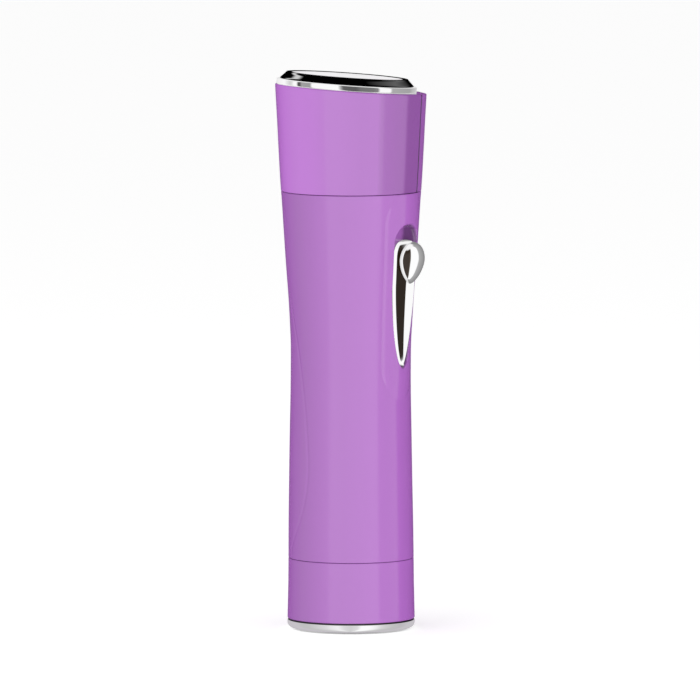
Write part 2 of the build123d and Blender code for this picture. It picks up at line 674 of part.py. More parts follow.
with BuildPart() as head_front_panel:
    with BuildSketch(radial_plane(-PANEL_HALF_ANGLE)):
        with BuildLine():
            Spline(*HEAD_CURVE)
            Polyline(HEAD_CURVE[-1], (19.5, HEAD_TOP), (18.0, SEAM), HEAD_CURVE[0])
        make_face()
    revolve(axis=Axis.Z, revolution_arc=2 * PANEL_HALF_ANGLE)
    split(bisect_by=RIM, keep=Keep.BOTTOM)
    split(bisect_by=Plane.XY.offset(SEAM + 0.02), keep=Keep.TOP)
save(head_front_panel, "head_front_panel")

with BuildPart() as head_trim_ring:
    with BuildSketch(RIM):
        Circle(TRIM_R)
        Circle(16.6, mode=Mode.SUBTRACT)
    extrude(amount=TRIM_THICK)
    chamfer(head_trim_ring.edges().filter_by(GeomType.CIRCLE).filter_by(
        lambda edge: abs(edge.radius - TRIM_R) < 0.01), length=0.25)
save(head_trim_ring, "head_trim_ring")

PLATE_SEAT = 2.6           # the guard plate lies this far above the rim plane
BEZEL_PROFILE = [          # (radius about the rim's centre, height above the rim plane)
    (14.2, -1.0), (15.25, -1.0), (15.25, 0), (16.55, 0), (16.55, TRIM_THICK),
    (18.2, TRIM_THICK), (18.2, 1.75), (16.4, 3.5), (15.15, 3.5), (15.15, PLATE_SEAT),
    (14.2, PLATE_SEAT), (14.2, -1.0),
]
with BuildPart() as head_bezel:
    with BuildSketch(Plane(origin=RIM.origin, x_dir=RIM.x_dir, z_dir=-RIM.y_dir)):
        with BuildLine():
            Polyline(*BEZEL_PROFILE)
        make_face()
    revolve(axis=Axis(RIM.origin, RIM.z_dir))
save(head_bezel, "head_bezel")

with BuildPart() as guard_plate:
    with BuildSketch(RIM.offset(PLATE_SEAT)):
        Circle(15.1)
        # windows over the tweezer discs
        with Locations(*[(-RIM_X, y) for y in (-10.3, -7.9, -5.5, 5.5, 7.9, 10.3)]):
            SlotOverall(9.0, 1.5, mode=Mode.SUBTRACT)
    extrude(amount=0.7)
save(guard_plate, "guard_plate")

# ================================================================ head frame and drive
DRUM_Z = 141.7             # drum axis height
FRAME_Z = 125.2
FRAME_THICK = 1.8
FRAME_TOP = FRAME_Z + FRAME_THICK
UPRIGHT_Y = 13.4           # middle of each upright
UPRIGHT_THICK = 1.6
SHAFT_BUSH_R = 2.2
AXLE_BUSH_R = 2.25
AXLE_R = 1.25
HEAD_SHAFT_R = 1.2
HEAD_SHAFT_Z = 121.5
TONGUE_H = 3.5
PINION_H = 1.8
PINION_TEETH = 8
PINION_TOP = DRUM_Z - 4.9

with BuildPart() as head_frame:
    with BuildSketch(Plane.XY.offset(FRAME_Z)):
        Circle(16.8)
    extrude(amount=FRAME_THICK)
    # uprights for the drum axle
    with BuildSketch(Plane.XY.offset(FRAME_TOP)):
        with Locations((0, UPRIGHT_Y), (0, -UPRIGHT_Y)):
            Rectangle(6.2, UPRIGHT_THICK)
    extrude(amount=17.5)
    # tower of the drive shaft
    with BuildSketch(Plane.XY.offset(FRAME_TOP)):
        Circle(3.4)
    extrude(amount=6.0)
    with BuildSketch(Plane.XY.offset(FRAME_Z)):
        Circle(SHAFT_BUSH_R)
    extrude(amount=8.0, mode=Mode.SUBTRACT)
    # axle holes
    with BuildSketch(Plane.XZ.offset(-20)):
        with Locations((0, DRUM_Z)):
            Circle(AXLE_BUSH_R)
    extrude(amount=40.0, mode=Mode.SUBTRACT)
    # screw holes
    with BuildSketch(Plane.XY.offset(125.0)):
        with PolarLocations(HEAD_SCREW_CIRCLE, 3, start_angle=HEAD_SCREW_START):
            Circle(HEAD_SCREW_R + 0.1)
    extrude(amount=3.0, mode=Mode.SUBTRACT)
    # openings low in the uprights
    with BuildSketch(Plane.XY.offset(FRAME_TOP)):
        with Locations((0, UPRIGHT_Y), (0, -UPRIGHT_Y)):
            Rectangle(2.6, 6.0)
    extrude(amount=9.0, mode=Mode.SUBTRACT)
save(head_frame, "head_frame")

screws("head_screws", screw_points(HEAD_SCREW_CIRCLE, HEAD_SCREW_START),
       cylinders=[(FRAME_Z - 0.9, 1.2, 0.9), (FRAME_Z, HEAD_SCREW_R, 3.2)])

tube("shaft_bush", z=125.3, outer_r=SHAFT_BUSH_R, inner_r=HEAD_SHAFT_R + 0.04, height=7.6)

# Rear is the +Y upright, front the -Y one; Plane.XZ faces -Y
for name, upright_y in (("axle_bush_rear", UPRIGHT_Y), ("axle_bush_front", -UPRIGHT_Y)):
    with BuildPart() as bush:
        with BuildSketch(Plane.XZ.offset(-upright_y - UPRIGHT_THICK / 2)):
            with Locations((0, DRUM_Z)):
                Circle(AXLE_BUSH_R)
                Circle(AXLE_R + 0.04, mode=Mode.SUBTRACT)
        extrude(amount=UPRIGHT_THICK)
    save(bush, name)

# Drive shaft of the head: tongue below, pinion on top
with BuildPart() as head_drive_shaft:
    with BuildSketch(Plane.XY.offset(HEAD_SHAFT_Z)):
        Circle(HEAD_SHAFT_R)
    extrude(amount=PINION_TOP - HEAD_SHAFT_Z)
    with BuildSketch(Plane.XY.offset(HEAD_SHAFT_Z)):
        Circle(2.6)
    extrude(amount=2.2)
    with BuildSketch(Plane.XY.offset(HEAD_SHAFT_Z - TONGUE_H)):
        Rectangle(4.6, 1.0)
    extrude(amount=TONGUE_H)
    with BuildSketch(Plane.XY.offset(PINION_TOP - PINION_H)):
        Circle(1.3)
        with PolarLocations(0, PINION_TEETH, start_angle=90):
            with BuildLine():
                Polyline((1.0, -0.40), (2.32, -0.18), (2.32, 0.18), (1.0, 0.40), (1.0, -0.40))
            make_face()
    extrude(amount=PINION_H)
save(head_drive_shaft, "head_drive_shaft")

# ================================================================ drum
AXLE_LENGTH = 28.2
HUB_R = 3.2
HUB_LENGTH = 24.6
CROWN_TEETH = 24
CROWN_INNER_R, CROWN_OUTER_R = 5.0, 6.6
DISC_R = 6.8
DISC_THICK = 0.5
SCALLOP_CIRCLE, SCALLOP_R, SCALLOPS = DISC_R + 0.9, 2.1, 6   # notches in the disc edges
PIN_CIRCLE, PIN_START = 4.6, 30
PIN_R, PIN_HOLE_R = 0.55, 0.75
FIXED_Y = (5.6, 8.0, 10.4)     # near faces of the fixed discs, from the middle
MOVING_Y = (4.7, 7.1, 9.5)     # near faces of the moving blades, from the middle

# Section plane of the drum: local z runs along +Y
DRUM = Plane(origin=(0, 0, DRUM_Z), x_dir=(1, 0, 0), z_dir=(0, 1, 0))

with BuildPart() as drum_axle:
    with BuildSketch(DRUM.offset(-AXLE_LENGTH / 2)):
        Circle(AXLE_R)
    extrude(amount=AXLE_LENGTH)
save(drum_axle, "drum_axle")

with BuildPart() as drum_hub:
    with BuildSketch(DRUM.offset(-HUB_LENGTH / 2)):
        Circle(HUB_R)
    extrude(amount=HUB_LENGTH)
    # crown wheel, toothed on its -Y face
    with BuildSketch(DRUM.offset(2.75)):
        Circle(CROWN_OUTER_R)
    extrude(amount=1.0)
    for i in range(CROWN_TEETH):
        angle = radians(90.0 + (i + 0.5) * 360.0 / CROWN_TEETH)
        outward = DRUM.from_local_coords((cos(angle), sin(angle), 0)) - DRUM.origin
        tangent = DRUM.from_local_coords((-sin(angle), cos(angle), 0)) - DRUM.origin
        # tooth section seen along its own radius, local y along +Y
        with BuildSketch(Plane(origin=DRUM.origin + outward * CROWN_INNER_R,
                               x_dir=tangent, z_dir=outward)):
            with BuildLine():
                Polyline((-0.36, 2.9), (0.36, 2.9), (0.20, 1.45), (-0.20, 1.45), (-0.36, 2.9))
            make_face()
        extrude(amount=CROWN_OUTER_R - CROWN_INNER_R - 0.02)
    with BuildSketch(DRUM.offset(-HUB_LENGTH / 2)):
        Circle(AXLE_R)
    extrude(amount=HUB_LENGTH, mode=Mode.SUBTRACT)
save(drum_hub, "drum_hub")

# Fixed discs: 1 to 3 on the +Y side, 4 to 6 on the -Y side
disc_starts = list(FIXED_Y) + [-y - DISC_THICK for y in FIXED_Y]
for number, y in enumerate(disc_starts, start=1):
    with BuildPart() as disc:
        with BuildSketch(DRUM.offset(y)):
            Circle(DISC_R)
            Circle(HUB_R, mode=Mode.SUBTRACT)
            with PolarLocations(SCALLOP_CIRCLE, SCALLOPS, start_angle=0):
                Circle(SCALLOP_R, mode=Mode.SUBTRACT)
            with PolarLocations(PIN_CIRCLE, 3, start_angle=PIN_START):
                Circle(PIN_HOLE_R, mode=Mode.SUBTRACT)
        extrude(amount=DISC_THICK)
    save(disc, f"tweezer_disc_{number}")

# Moving blades: three on each side, joined by pins through the fixed discs
for name, blade_starts in (
    ("tweezer_blades_rear", MOVING_Y),
    ("tweezer_blades_front", [-y - DISC_THICK for y in MOVING_Y]),
):
    with BuildPart() as blades:
        for y in blade_starts:
            with BuildSketch(DRUM.offset(y)):
                Circle(DISC_R)
                Circle(HUB_R + 0.06, mode=Mode.SUBTRACT)
                with PolarLocations(SCALLOP_CIRCLE, SCALLOPS, start_angle=0):
                    Circle(SCALLOP_R, mode=Mode.SUBTRACT)
            extrude(amount=DISC_THICK)
        with BuildSketch(DRUM.offset(min(blade_starts))):
            with PolarLocations(PIN_CIRCLE, 3, start_angle=PIN_START):
                Circle(PIN_R)
        extrude(amount=MOVING_Y[-1] + DISC_THICK - MOVING_Y[0])
    save(blades, name)
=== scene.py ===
"""Lavender hand-held epilator, standing upright on the floor.

The handle's axis is +Z and the camera looks from the front, -Y, so +X is to the right. The slide
switch faces front right; the head's rim leans down to the right. Shapes are in millimetres and
become metres in make(); the stage, the lights and the textures are in metres.
"""
import json
import math
import bpy
import bmesh
import numpy as np
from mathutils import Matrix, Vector


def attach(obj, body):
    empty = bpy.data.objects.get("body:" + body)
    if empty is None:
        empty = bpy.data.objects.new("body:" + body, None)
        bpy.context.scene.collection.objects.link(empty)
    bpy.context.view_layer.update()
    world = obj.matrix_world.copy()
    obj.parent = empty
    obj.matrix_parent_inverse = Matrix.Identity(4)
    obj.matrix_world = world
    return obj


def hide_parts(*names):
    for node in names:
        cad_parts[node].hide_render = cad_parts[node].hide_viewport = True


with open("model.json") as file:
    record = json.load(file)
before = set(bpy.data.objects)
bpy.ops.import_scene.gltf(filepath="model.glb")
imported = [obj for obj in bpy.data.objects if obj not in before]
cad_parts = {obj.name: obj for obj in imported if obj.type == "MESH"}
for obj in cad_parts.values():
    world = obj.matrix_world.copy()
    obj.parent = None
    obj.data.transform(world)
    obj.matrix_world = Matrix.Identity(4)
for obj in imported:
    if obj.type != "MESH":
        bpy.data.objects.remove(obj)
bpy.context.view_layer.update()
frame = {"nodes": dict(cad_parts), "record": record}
nodes = frame["nodes"]
slot_of = {part["node"]: part["material_slot"] for part in frame["record"]["subparts"]}

# ------------------------------------------------------------------ driving sizes
MM = 0.001
BASE_TOP, SEAM_Z = 19.4, 119.1      # seams under and over the grip
SEAM_ROUND = 0.28                   # edge radius that draws the seams

# the switch's direction and the horizontal across it, which points to the back right
SWITCH_ANGLE = math.radians(-32.5)
SWITCH_DIR = np.array([math.cos(SWITCH_ANGLE), math.sin(SWITCH_ANGLE), 0.0])
ACROSS = np.array([-math.sin(SWITCH_ANGLE), math.cos(SWITCH_ANGLE), 0.0])

# the slide's track, a plane that leans outwards as it rises
TRACK_TILT = math.radians(2.4)
TRACK_R, TRACK_Z = 15.45, 73.9
TRACK_ORIGIN = TRACK_R * SWITCH_DIR + np.array([0, 0, TRACK_Z])
TRACK_UP = SWITCH_DIR * math.sin(TRACK_TILT) + np.array([0, 0, math.cos(TRACK_TILT)])
TRACK_OUT = SWITCH_DIR * math.cos(TRACK_TILT) - np.array([0, 0, math.sin(TRACK_TILT)])

# the head's rim: a plane leaning to +X and a little to +Y
lean_x, lean_y = math.sin(math.radians(4.0)), math.sin(math.radians(1.3))
RIM_AXIS = np.array([lean_x, lean_y, math.sqrt(1 - lean_x * lean_x - lean_y * lean_y)])
RIM_X = np.array([RIM_AXIS[2], 0, -RIM_AXIS[0]])
RIM_X /= np.linalg.norm(RIM_X)
RIM_Y = np.cross(RIM_AXIS, RIM_X)
RIM_CENTRE = np.array([-1.25, 0, 147.0])

# (radius, z) stations of the swept outline
GRIP_STATIONS = [
    (17.0, 19.4), (16.9, 27), (16.7, 37), (16.5, 48), (16.35, 56.7), (16.22, 64), (16.2, 72),
    (16.3, 78.5), (16.6, 83.9), (16.93, 89.4), (17.33, 94.8), (17.74, 100.3), (18.1, 105.7),
    (18.45, 111.2), (18.8, 116.6), (19.0, 119.1)]
HEAD_STATIONS = [
    (19.0, 119.1), (19.25, 123), (19.5, 127.5), (19.78, 132.9), (20.05, 138.4), (20.4, 144.6),
    (20.75, 152.0)]
# (degrees from the switch's direction, z) of the crease down each side of the grip's back
CREASE_STATIONS = [(128.5, 23.0), (114.5, 29.5), (103.5, 51.3), (118.5, 75.8), (137.5, 94.8)]


# ------------------------------------------------------------------ curves
def spline(stations):
    """Natural cubic through (value, z) stations, as a function of z."""
    z = np.array([s[1] for s in stations], float)
    value = np.array([s[0] for s in stations], float)
    n = len(z)
    step = np.diff(z)
    matrix = np.zeros((n, n))
    right = np.zeros(n)
    matrix[0, 0] = matrix[-1, -1] = 1
    for i in range(1, n - 1):
        matrix[i, i - 1:i + 2] = step[i - 1], 2 * (step[i - 1] + step[i]), step[i]
        right[i] = 6 * ((value[i + 1] - value[i]) / step[i]
                        - (value[i] - value[i - 1]) / step[i - 1])
    bend = np.linalg.solve(matrix, right)

    def curve(x):
        x = np.clip(np.asarray(x, float), z[0], z[-1])
        i = np.clip(np.searchsorted(z, x) - 1, 0, n - 2)
        above, below, h = z[i + 1] - x, x - z[i], step[i]
        return ((bend[i] * above ** 3 + bend[i + 1] * below ** 3) / (6 * h)
                + (value[i] / h - bend[i] * h / 6) * above
                + (value[i + 1] / h - bend[i + 1] * h / 6) * below)
    return curve


grip_sweep = spline(GRIP_STATIONS)
head_sweep = spline(HEAD_STATIONS)
crease_degrees = spline(CREASE_STATIONS)


def smin(a, b, blend):
    """Smaller of two values, rounded where they meet."""
    return 0.5 * (a + b - np.sqrt((a - b) ** 2 + blend * blend))


def smax(a, b, blend):
    """Larger of two values, rounded where they meet."""
    return 0.5 * (a + b + np.sqrt((a - b) ** 2 + blend * blend))


def shifted_circle(bearing, radius, shift):
    """Distance from the axis to a circle whose centre is shifted towards bearing 0."""
    inside = np.maximum(radius ** 2 - (shift * np.sin(bearing)) ** 2, 0.01)
    return shift * np.cos(bearing) + np.sqrt(inside)


def arc(centre_r, centre_z, radius, start, end, steps):
    """Profile points along an arc, from start to end degrees."""
    turns = [math.radians(start + (end - start) * i / steps) for i in range(steps + 1)]
    return [(centre_r + radius * math.cos(a), centre_z + radius * math.sin(a)) for a in turns]


def on_track(across, along, out):
    """Point given in the track's own directions."""
    return TRACK_ORIGIN + ACROSS * across + TRACK_UP * along + TRACK_OUT * out


def rim_height(x, y, offset=0.0):
    """Height over (x, y) of the rim plane, moved by offset along its normal."""
    level = RIM_CENTRE @ RIM_AXIS + offset
    return (level - x * RIM_AXIS[0] - y * RIM_AXIS[1]) / RIM_AXIS[2]


# ------------------------------------------------------------------ mesh helpers
def make(name, mesh, body, material, replaced, sharp):
    """Builds a piece from (vertices in mm, faces); sharp is the crease angle in degrees."""
    verts, faces = mesh
    data = bpy.data.meshes.new(name)
    data.from_pydata([tuple(float(c) * MM for c in v) for v in verts], [], faces)
    data.validate()
    bm = bmesh.new()
    bm.from_mesh(data)
    bmesh.ops.remove_doubles(bm, verts=bm.verts, dist=1e-7)
    bmesh.ops.recalc_face_normals(bm, faces=bm.faces)
    bm.to_mesh(data)
    bm.free()
    data.polygons.foreach_set("use_smooth", [True] * len(data.polygons))
    data.set_sharp_from_angle(angle=math.radians(sharp))
    piece = bpy.data.objects.new(name, data)
    bpy.context.scene.collection.objects.link(piece)
    piece.data.materials.append(material)
    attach(piece, body)
    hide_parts(replaced)
    return piece


def ring_solid(columns):
    """Joins closed profiles, one per column, round into a ring-shaped solid."""
    n, m = len(columns), len(columns[0])
    verts = [point for column in columns for point in column]
    faces = []
    for j in range(n):
        k = (j + 1) % n
        for i in range(m):
            l = (i + 1) % m
            faces.append((j * m + i, k * m + i, k * m + l, j * m + l))
    return verts, faces


def lathe(profile, origin=(0, 0, 0), axes=((1, 0, 0), (0, 1, 0), (0, 0, 1)), steps=256):
    """Turns a closed (radius, height) profile about the third of the axes."""
    origin = np.array(origin, float)
    axis_x, axis_y, axis_z = (np.array(axis, float) for axis in axes)
    columns = []
    for j in range(steps):
        turn = 2 * math.pi * j / steps
        outward = axis_x * math.cos(turn) + axis_y * math.sin(turn)
        columns.append([origin + outward * r + axis_z * z for r, z in profile])
    return ring_solid(columns)


def slab(front, back, flip=False):
    """Closes two grids of points, [row][place], into a slab; flip reverses the winding."""
    rows, places = len(front) - 1, len(front[0]) - 1
    verts = [point for grid in (front, back) for row in grid for point in row]
    off = (rows + 1) * (places + 1)

    def at(i, j):
        return i * (places + 1) + j

    faces = []
    for i in range(rows):
        for j in range(places):
            a, b, c, d = at(i, j), at(i + 1, j), at(i + 1, j + 1), at(i, j + 1)
            faces.append((a, b, c, d))
            faces.append((off + a, off + d, off + c, off + b))
    for i in range(rows):
        a, b = at(i, 0), at(i + 1, 0)
        faces.append((a, off + a, off + b, b))
        a, b = at(i, places), at(i + 1, places)
        faces.append((a, b, off + b, off + a))
    for j in range(places):
        a, b = at(0, j), at(0, j + 1)
        faces.append((a, b, off + b, off + a))
        a, b = at(rows, j), at(rows, j + 1)
        faces.append((a, off + a, off + b, b))
    if flip:
        faces = [(a, d, c, b) for a, b, c, d in faces]
    return verts, faces


def cut_box(target, centre, axes, size):
    """Cuts a box, with its sides along axes, out of a piece."""
    signs = (-1, 1)
    corners = [centre + axes[0] * (a * size[0] / 2) + axes[1] * (b * size[1] / 2)
               + axes[2] * (c * size[2] / 2) for a in signs for b in signs for c in signs]
    faces = [(0, 1, 3, 2), (4, 6, 7, 5), (0, 4, 5, 1), (2, 3, 7, 6), (0, 2, 6, 4), (1, 5, 7, 3)]
    data = bpy.data.meshes.new("cut")
    data.from_pydata([tuple(p * MM) for p in corners], [], faces)
    bm = bmesh.new()
    bm.from_mesh(data)
    bmesh.ops.recalc_face_normals(bm, faces=bm.faces)
    bm.to_mesh(data)
    bm.free()
    cutter = bpy.data.objects.new("cut", data)
    bpy.context.scene.collection.objects.link(cutter)
    boolean = target.modifiers.new("slot", "BOOLEAN")
    boolean.operation = "DIFFERENCE"
    boolean.object = cutter
    boolean.solver = "EXACT"
    bpy.context.view_layer.update()
    depsgraph = bpy.context.evaluated_depsgraph_get()
    result = bpy.data.meshes.new_from_object(target.evaluated_get(depsgraph))
    target.modifiers.clear()
    target.data = result
    bpy.data.objects.remove(cutter)
    bpy.data.meshes.remove(data)


# ------------------------------------------------------------------ shader helpers
def node(tree, kind, inputs=None, **settings):
    """Adds a shader node; inputs maps each socket to a value or to the socket that feeds it."""
    made = tree.nodes.new("ShaderNode" + kind)
    for name, value in settings.items():
        setattr(made, name, value)
    for socket, value in (inputs or {}).items():
        if isinstance(value, bpy.types.NodeSocket):
            tree.links.new(value, made.inputs[socket])
        else:
            made.inputs[socket].default_value = value
    return made


def new_material(name):
    """Gives a new material, its node tree, its principled shader and the surface socket."""
    material = bpy.data.materials.new(name)
    material.use_nodes = True
    tree = material.node_tree
    tree.nodes.clear()
    surface = node(tree, "OutputMaterial").inputs[0]
    shader = node(tree, "BsdfPrincipled")
    tree.links.new(shader.outputs[0], surface)
    return material, tree, shader, surface


def linear(colour):
    """Linear values of an sRGB colour."""
    return tuple(x / 12.92 if x <= 0.04045 else ((x + 0.055) / 1.055) ** 2.4 for x in colour)


def coords(tree, scale=(1, 1, 1)):
    """Object coordinates, scaled along each axis."""
    source = node(tree, "TexCoord").outputs["Object"]
    return node(tree, "Mapping", {"Scale": scale, "Vector": source}).outputs[0]


def noise(tree, vector, scale, detail, roughness=0.5):
    return node(tree, "TexNoise", {"Scale": scale, "Detail": detail, "Roughness": roughness,
                                   "Vector": vector})


def remap(tree, value, source=(0.0, 1.0), target=(0.0, 1.0), smooth=False):
    """Carries the source range over to the target range."""
    limits = {"Value": value, "From Min": source[0], "From Max": source[1],
              "To Min": target[0], "To Max": target[1]}
    kind = "SMOOTHSTEP" if smooth else "LINEAR"
    return node(tree, "MapRange", limits, interpolation_type=kind).outputs[0]


def mix_colour(tree, factor, first, second, **settings):
    # in colour mode a Mix node works on sockets 6 and 7 and gives output 2
    return node(tree, "Mix", {0: factor, 6: first, 7: second},
                data_type="RGBA", **settings).outputs[2]


def drifting_colour(tree, vector, colour, amount, scale):
    """Colour that drifts by the fraction amount either side of an sRGB colour."""
    cloud = noise(tree, vector, scale, detail=5.0, roughness=0.55)
    low, high = ((*[x * f for x in linear(colour)], 1) for f in (1 - amount, 1 + amount))
    return mix_colour(tree, cloud.outputs[0], low, high)


def uneven_roughness(tree, shader, vector, limits, scale, detail, roughness=0.5):
    cloud = noise(tree, vector, scale, detail, roughness)
    value = remap(tree, cloud.outputs[0], target=limits)
    tree.links.new(value, shader.inputs["Roughness"])


def add_grain(tree, shader, vector, scale, detail, strength, distance):
    height = noise(tree, vector, scale, detail).outputs[0]
    bump = node(tree, "Bump", {"Strength": strength, "Distance": distance, "Height": height})
    tree.links.new(bump.outputs[0], shader.inputs["Normal"])


def bearing_ramp(tree, direction, stops):
    """Colour by compass bearing of a direction, and the direction's z.

    Bearing 0 faces the camera and +90 is +X. Stops are (degrees, grey or colour).
    """
    parts = node(tree, "SeparateXYZ", {0: direction})
    forward = node(tree, "Math", {0: parts.outputs["Y"], 1: -1}, operation="MULTIPLY")
    bearing = node(tree, "Math", {0: parts.outputs["X"], 1: forward.outputs[0]},
                   operation="ARCTAN2")
    place = remap(tree, bearing.outputs[0], source=(-math.pi, math.pi))
    ramp = node(tree, "ValToRGB", {0: place})
    elements = ramp.color_ramp.elements
    while len(elements) > 1:
        elements.remove(elements[0])
    for i, (degrees, colour) in enumerate(stops):
        position = (degrees + 180.0) / 360.0
        if i == 0:
            element = elements[0]
            element.position = position
        else:
            element = elements.new(position)
        if not isinstance(colour, tuple):
            colour = (colour, colour, colour)
        element.color = (*colour, 1)
    return ramp.outputs[0], parts.outputs["Z"]


def shaded(tree, colour, stops):
    """Adds painted shade in crevices and the pocket, and painted side light by the bearing faced.
    """
    normal = node(tree, "NewGeometry").outputs["Normal"]
    painted_side_light, _ = bearing_ramp(tree, normal, stops)
    # painted shade in crevices, from ambient occlusion
    occlusion = node(tree, "AmbientOcclusion", {"Distance": 0.004}, samples=8)
    crevice_shade = remap(tree, occlusion.outputs["AO"], source=(0.15, 0.92), target=(0.16, 1.0))
    # painted shade in the pocket, by how far it sinks
    depth = node(tree, "Attribute", attribute_name="pocket_shade_depth").outputs["Fac"]
    pocket = remap(tree, depth, source=(0.10, 1.3), target=(1.0, 0.36), smooth=True)
    for factor in (painted_side_light, crevice_shade, pocket):
        colour = mix_colour(tree, 1.0, colour, factor, blend_type="MULTIPLY")
    return colour


# ------------------------------------------------------------------ kinds of material
def plastic(name, colour, rough=(0.28, 0.36), coat=0.0, grain=900.0, strength=0.05, amount=0.03,
            spec=0.5, dist=0.0001, painted_side_light=None):
    """Moulded plastic or rubber: grain is the bump's noise scale, amount the colour drift."""
    material, tree, shader, _ = new_material(name)
    vector = coords(tree)
    base = drifting_colour(tree, vector, colour, amount, scale=60.0)
    # painted shade and painted side light, when the stops are given
    if painted_side_light:
        base = shaded(tree, base, painted_side_light)
    tree.links.new(base, shader.inputs["Base Color"])
    uneven_roughness(tree, shader, vector, rough, scale=240.0, detail=3.0)
    add_grain(tree, shader, vector, grain, detail=2.0, strength=strength, distance=dist)
    shader.inputs["Specular IOR Level"].default_value = spec
    if coat:
        shader.inputs["Coat Weight"].default_value = coat
        shader.inputs["Coat Roughness"].default_value = 0.05
    return material


def metal(name, colour, rough, brushed=(1, 1, 1), strength=0.03, amount=0.04, scale=300.0):
    """Plain metal; brushed scales the noise along each axis to draw it out into lines."""
    material, tree, shader, _ = new_material(name)
    vector = coords(tree, brushed)
    shader.inputs["Metallic"].default_value = 1.0
    base = drifting_colour(tree, coords(tree), colour, amount, scale=90.0)
    tree.links.new(base, shader.inputs["Base Color"])
    uneven_roughness(tree, shader, vector, rough, scale, detail=4.0, roughness=0.55)
    add_grain(tree, shader, vector, scale * 3, detail=3.0, strength=strength, distance=0.00005)
    return material


def mirror_metal(name, stops, amount=0.98, rough=(0.03, 0.07), sky=0.95, zenith=(0.62, 0.86)):
    """Bright plating with a painted reflection, an emission showing pale screens and dark flags.

    amount is the share of the painted reflection, sky the grey of the overhead screen and
    zenith the range of the mirrored direction's z over which that screen takes over.
    """
    material, tree, shader, surface = new_material(name)
    shader.inputs["Metallic"].default_value = 1.0
    vector = coords(tree)
    base = drifting_colour(tree, vector, (0.93, 0.93, 0.94), amount=0.02, scale=90.0)
    tree.links.new(base, shader.inputs["Base Color"])
    uneven_roughness(tree, shader, vector, rough, scale=300.0, detail=4.0, roughness=0.55)
    # faint polishing marks bend the mirrored direction a little
    mirrored = node(tree, "TexCoord").outputs["Reflection"]
    marks = noise(tree, vector, scale=420.0, detail=3.0).outputs[1]
    offset = node(tree, "VectorMath", {0: marks, "Scale": 0.02}, operation="SCALE")
    bent = node(tree, "VectorMath", {0: mirrored, 1: offset.outputs[0]}, operation="ADD")
    walls, height = bearing_ramp(tree, bent.outputs[0], stops)
    overhead = remap(tree, height, source=zenith, smooth=True)
    studio = mix_colour(tree, overhead, walls, (sky, sky, sky, 1))
    # the painted reflection is an emission
    painted_reflection = node(tree, "Emission", {0: studio})
    mixed = node(tree, "MixShader", {0: amount, 1: shader.outputs[0], 2: painted_reflection.outputs[0]})
    tree.links.new(mixed.outputs[0], surface)
    return material


def glinting_black(name, stops):
    """Black gloss with painted glints, an emission set by the bearing of the mirrored direction.
    """
    material, tree, shader, surface = new_material(name)
    vector = coords(tree)
    base = drifting_colour(tree, vector, (0.008, 0.008, 0.009), amount=0.03, scale=60.0)
    tree.links.new(base, shader.inputs["Base Color"])
    uneven_roughness(tree, shader, vector, (0.06, 0.11), scale=240.0, detail=3.0)
    add_grain(tree, shader, vector, 1800.0, detail=2.0, strength=0.01, distance=0.00002)
    shader.inputs["Specular IOR Level"].default_value = 0.0
    mirrored = node(tree, "TexCoord").outputs["Reflection"]
    painted_glint, height = bearing_ramp(tree, mirrored, stops)
    # the painted glints show only on surfaces that mirror upwards
    strength = remap(tree, height, source=(0.20, 0.35))
    painted_reflection = node(tree, "Emission", {0: painted_glint, "Strength": strength})
    total = node(tree, "AddShader", {0: shader.outputs[0], 1: painted_reflection.outputs[0]})
    tree.links.new(total.outputs[0], surface)
    return material


# ------------------------------------------------------------------ materials
# painted reflection of each plated piece: (bearing in degrees, grey or linear colour)
BROWN = (0.030, 0.019, 0.010)
PAINTED_REFLECTION_RIM = [
    (-180, 0.80), (-132, 0.95), (-124, 0.95), (-119, 0.84), (-108, 0.64), (-103, 0.72),
    (-98, 0.97), (-92, 0.97), (-88, 0.04), (-84, 0.08), (-80, 0.34), (-63, 0.32), (-59, 0.96),
    (-14, 0.96), (-9, 0.36), (-5, 0.09), (16, 0.08), (24, 0.14), (46, 0.16), (54, 0.22),
    (58, 0.96), (78, 0.97), (82, 0.40), (128, 0.37), (140, 0.50), (152, 0.56), (180, 0.80)]
PAINTED_REFLECTION_BASE = [
    (-180, 0.60), (-124, 0.60), (-95, 0.52), (-82, 0.53), (-50, 0.64), (-24, 0.82), (-12, 0.60),
    (0, 0.53), (12, 0.62), (20, 0.93), (34, 0.93), (50, 0.76), (64, 0.62), (87, 0.50),
    (127, 0.63), (180, 0.60)]
PAINTED_REFLECTION_BEAD = [
    (-180, 0.70), (-110, 0.80), (-70, 0.97), (-62, 1.0), (-57, BROWN),
    (30, (0.026, 0.016, 0.008)), (42, (0.08, 0.06, 0.04)), (47, 1.0), (97, 1.0), (103, 0.42),
    (125, 0.34), (150, 0.26), (172, 0.20), (180, 0.60)]
PAINTED_REFLECTION_BLADE = [
    (-180, 0.45), (-100, 0.85), (-46, 1.0), (34, 1.0), (42, 0.30), (50, (0.016, 0.009, 0.004)),
    (86, (0.018, 0.010, 0.005)), (106, (0.045, 0.030, 0.018)), (110, 0.96), (166, 1.0),
    (174, 0.50), (180, 0.40)]
PAINTED_REFLECTION_PLATE = [
    (-180, 0.98), (-120, 0.95), (-40, 0.84), (40, 0.84), (120, 0.95), (180, 0.98)]
# painted glints of the black gloss: (bearing in degrees, grey)
PAINTED_BLACK_GLINTS = [
    (-180, 0.0), (-148, 0.0), (-143, 0.60), (-139, 0.60), (-134, 0.0), (100, 0.0), (116, 0.05),
    (133, 0.11), (150, 0.04), (165, 0.0), (180, 0.0)]
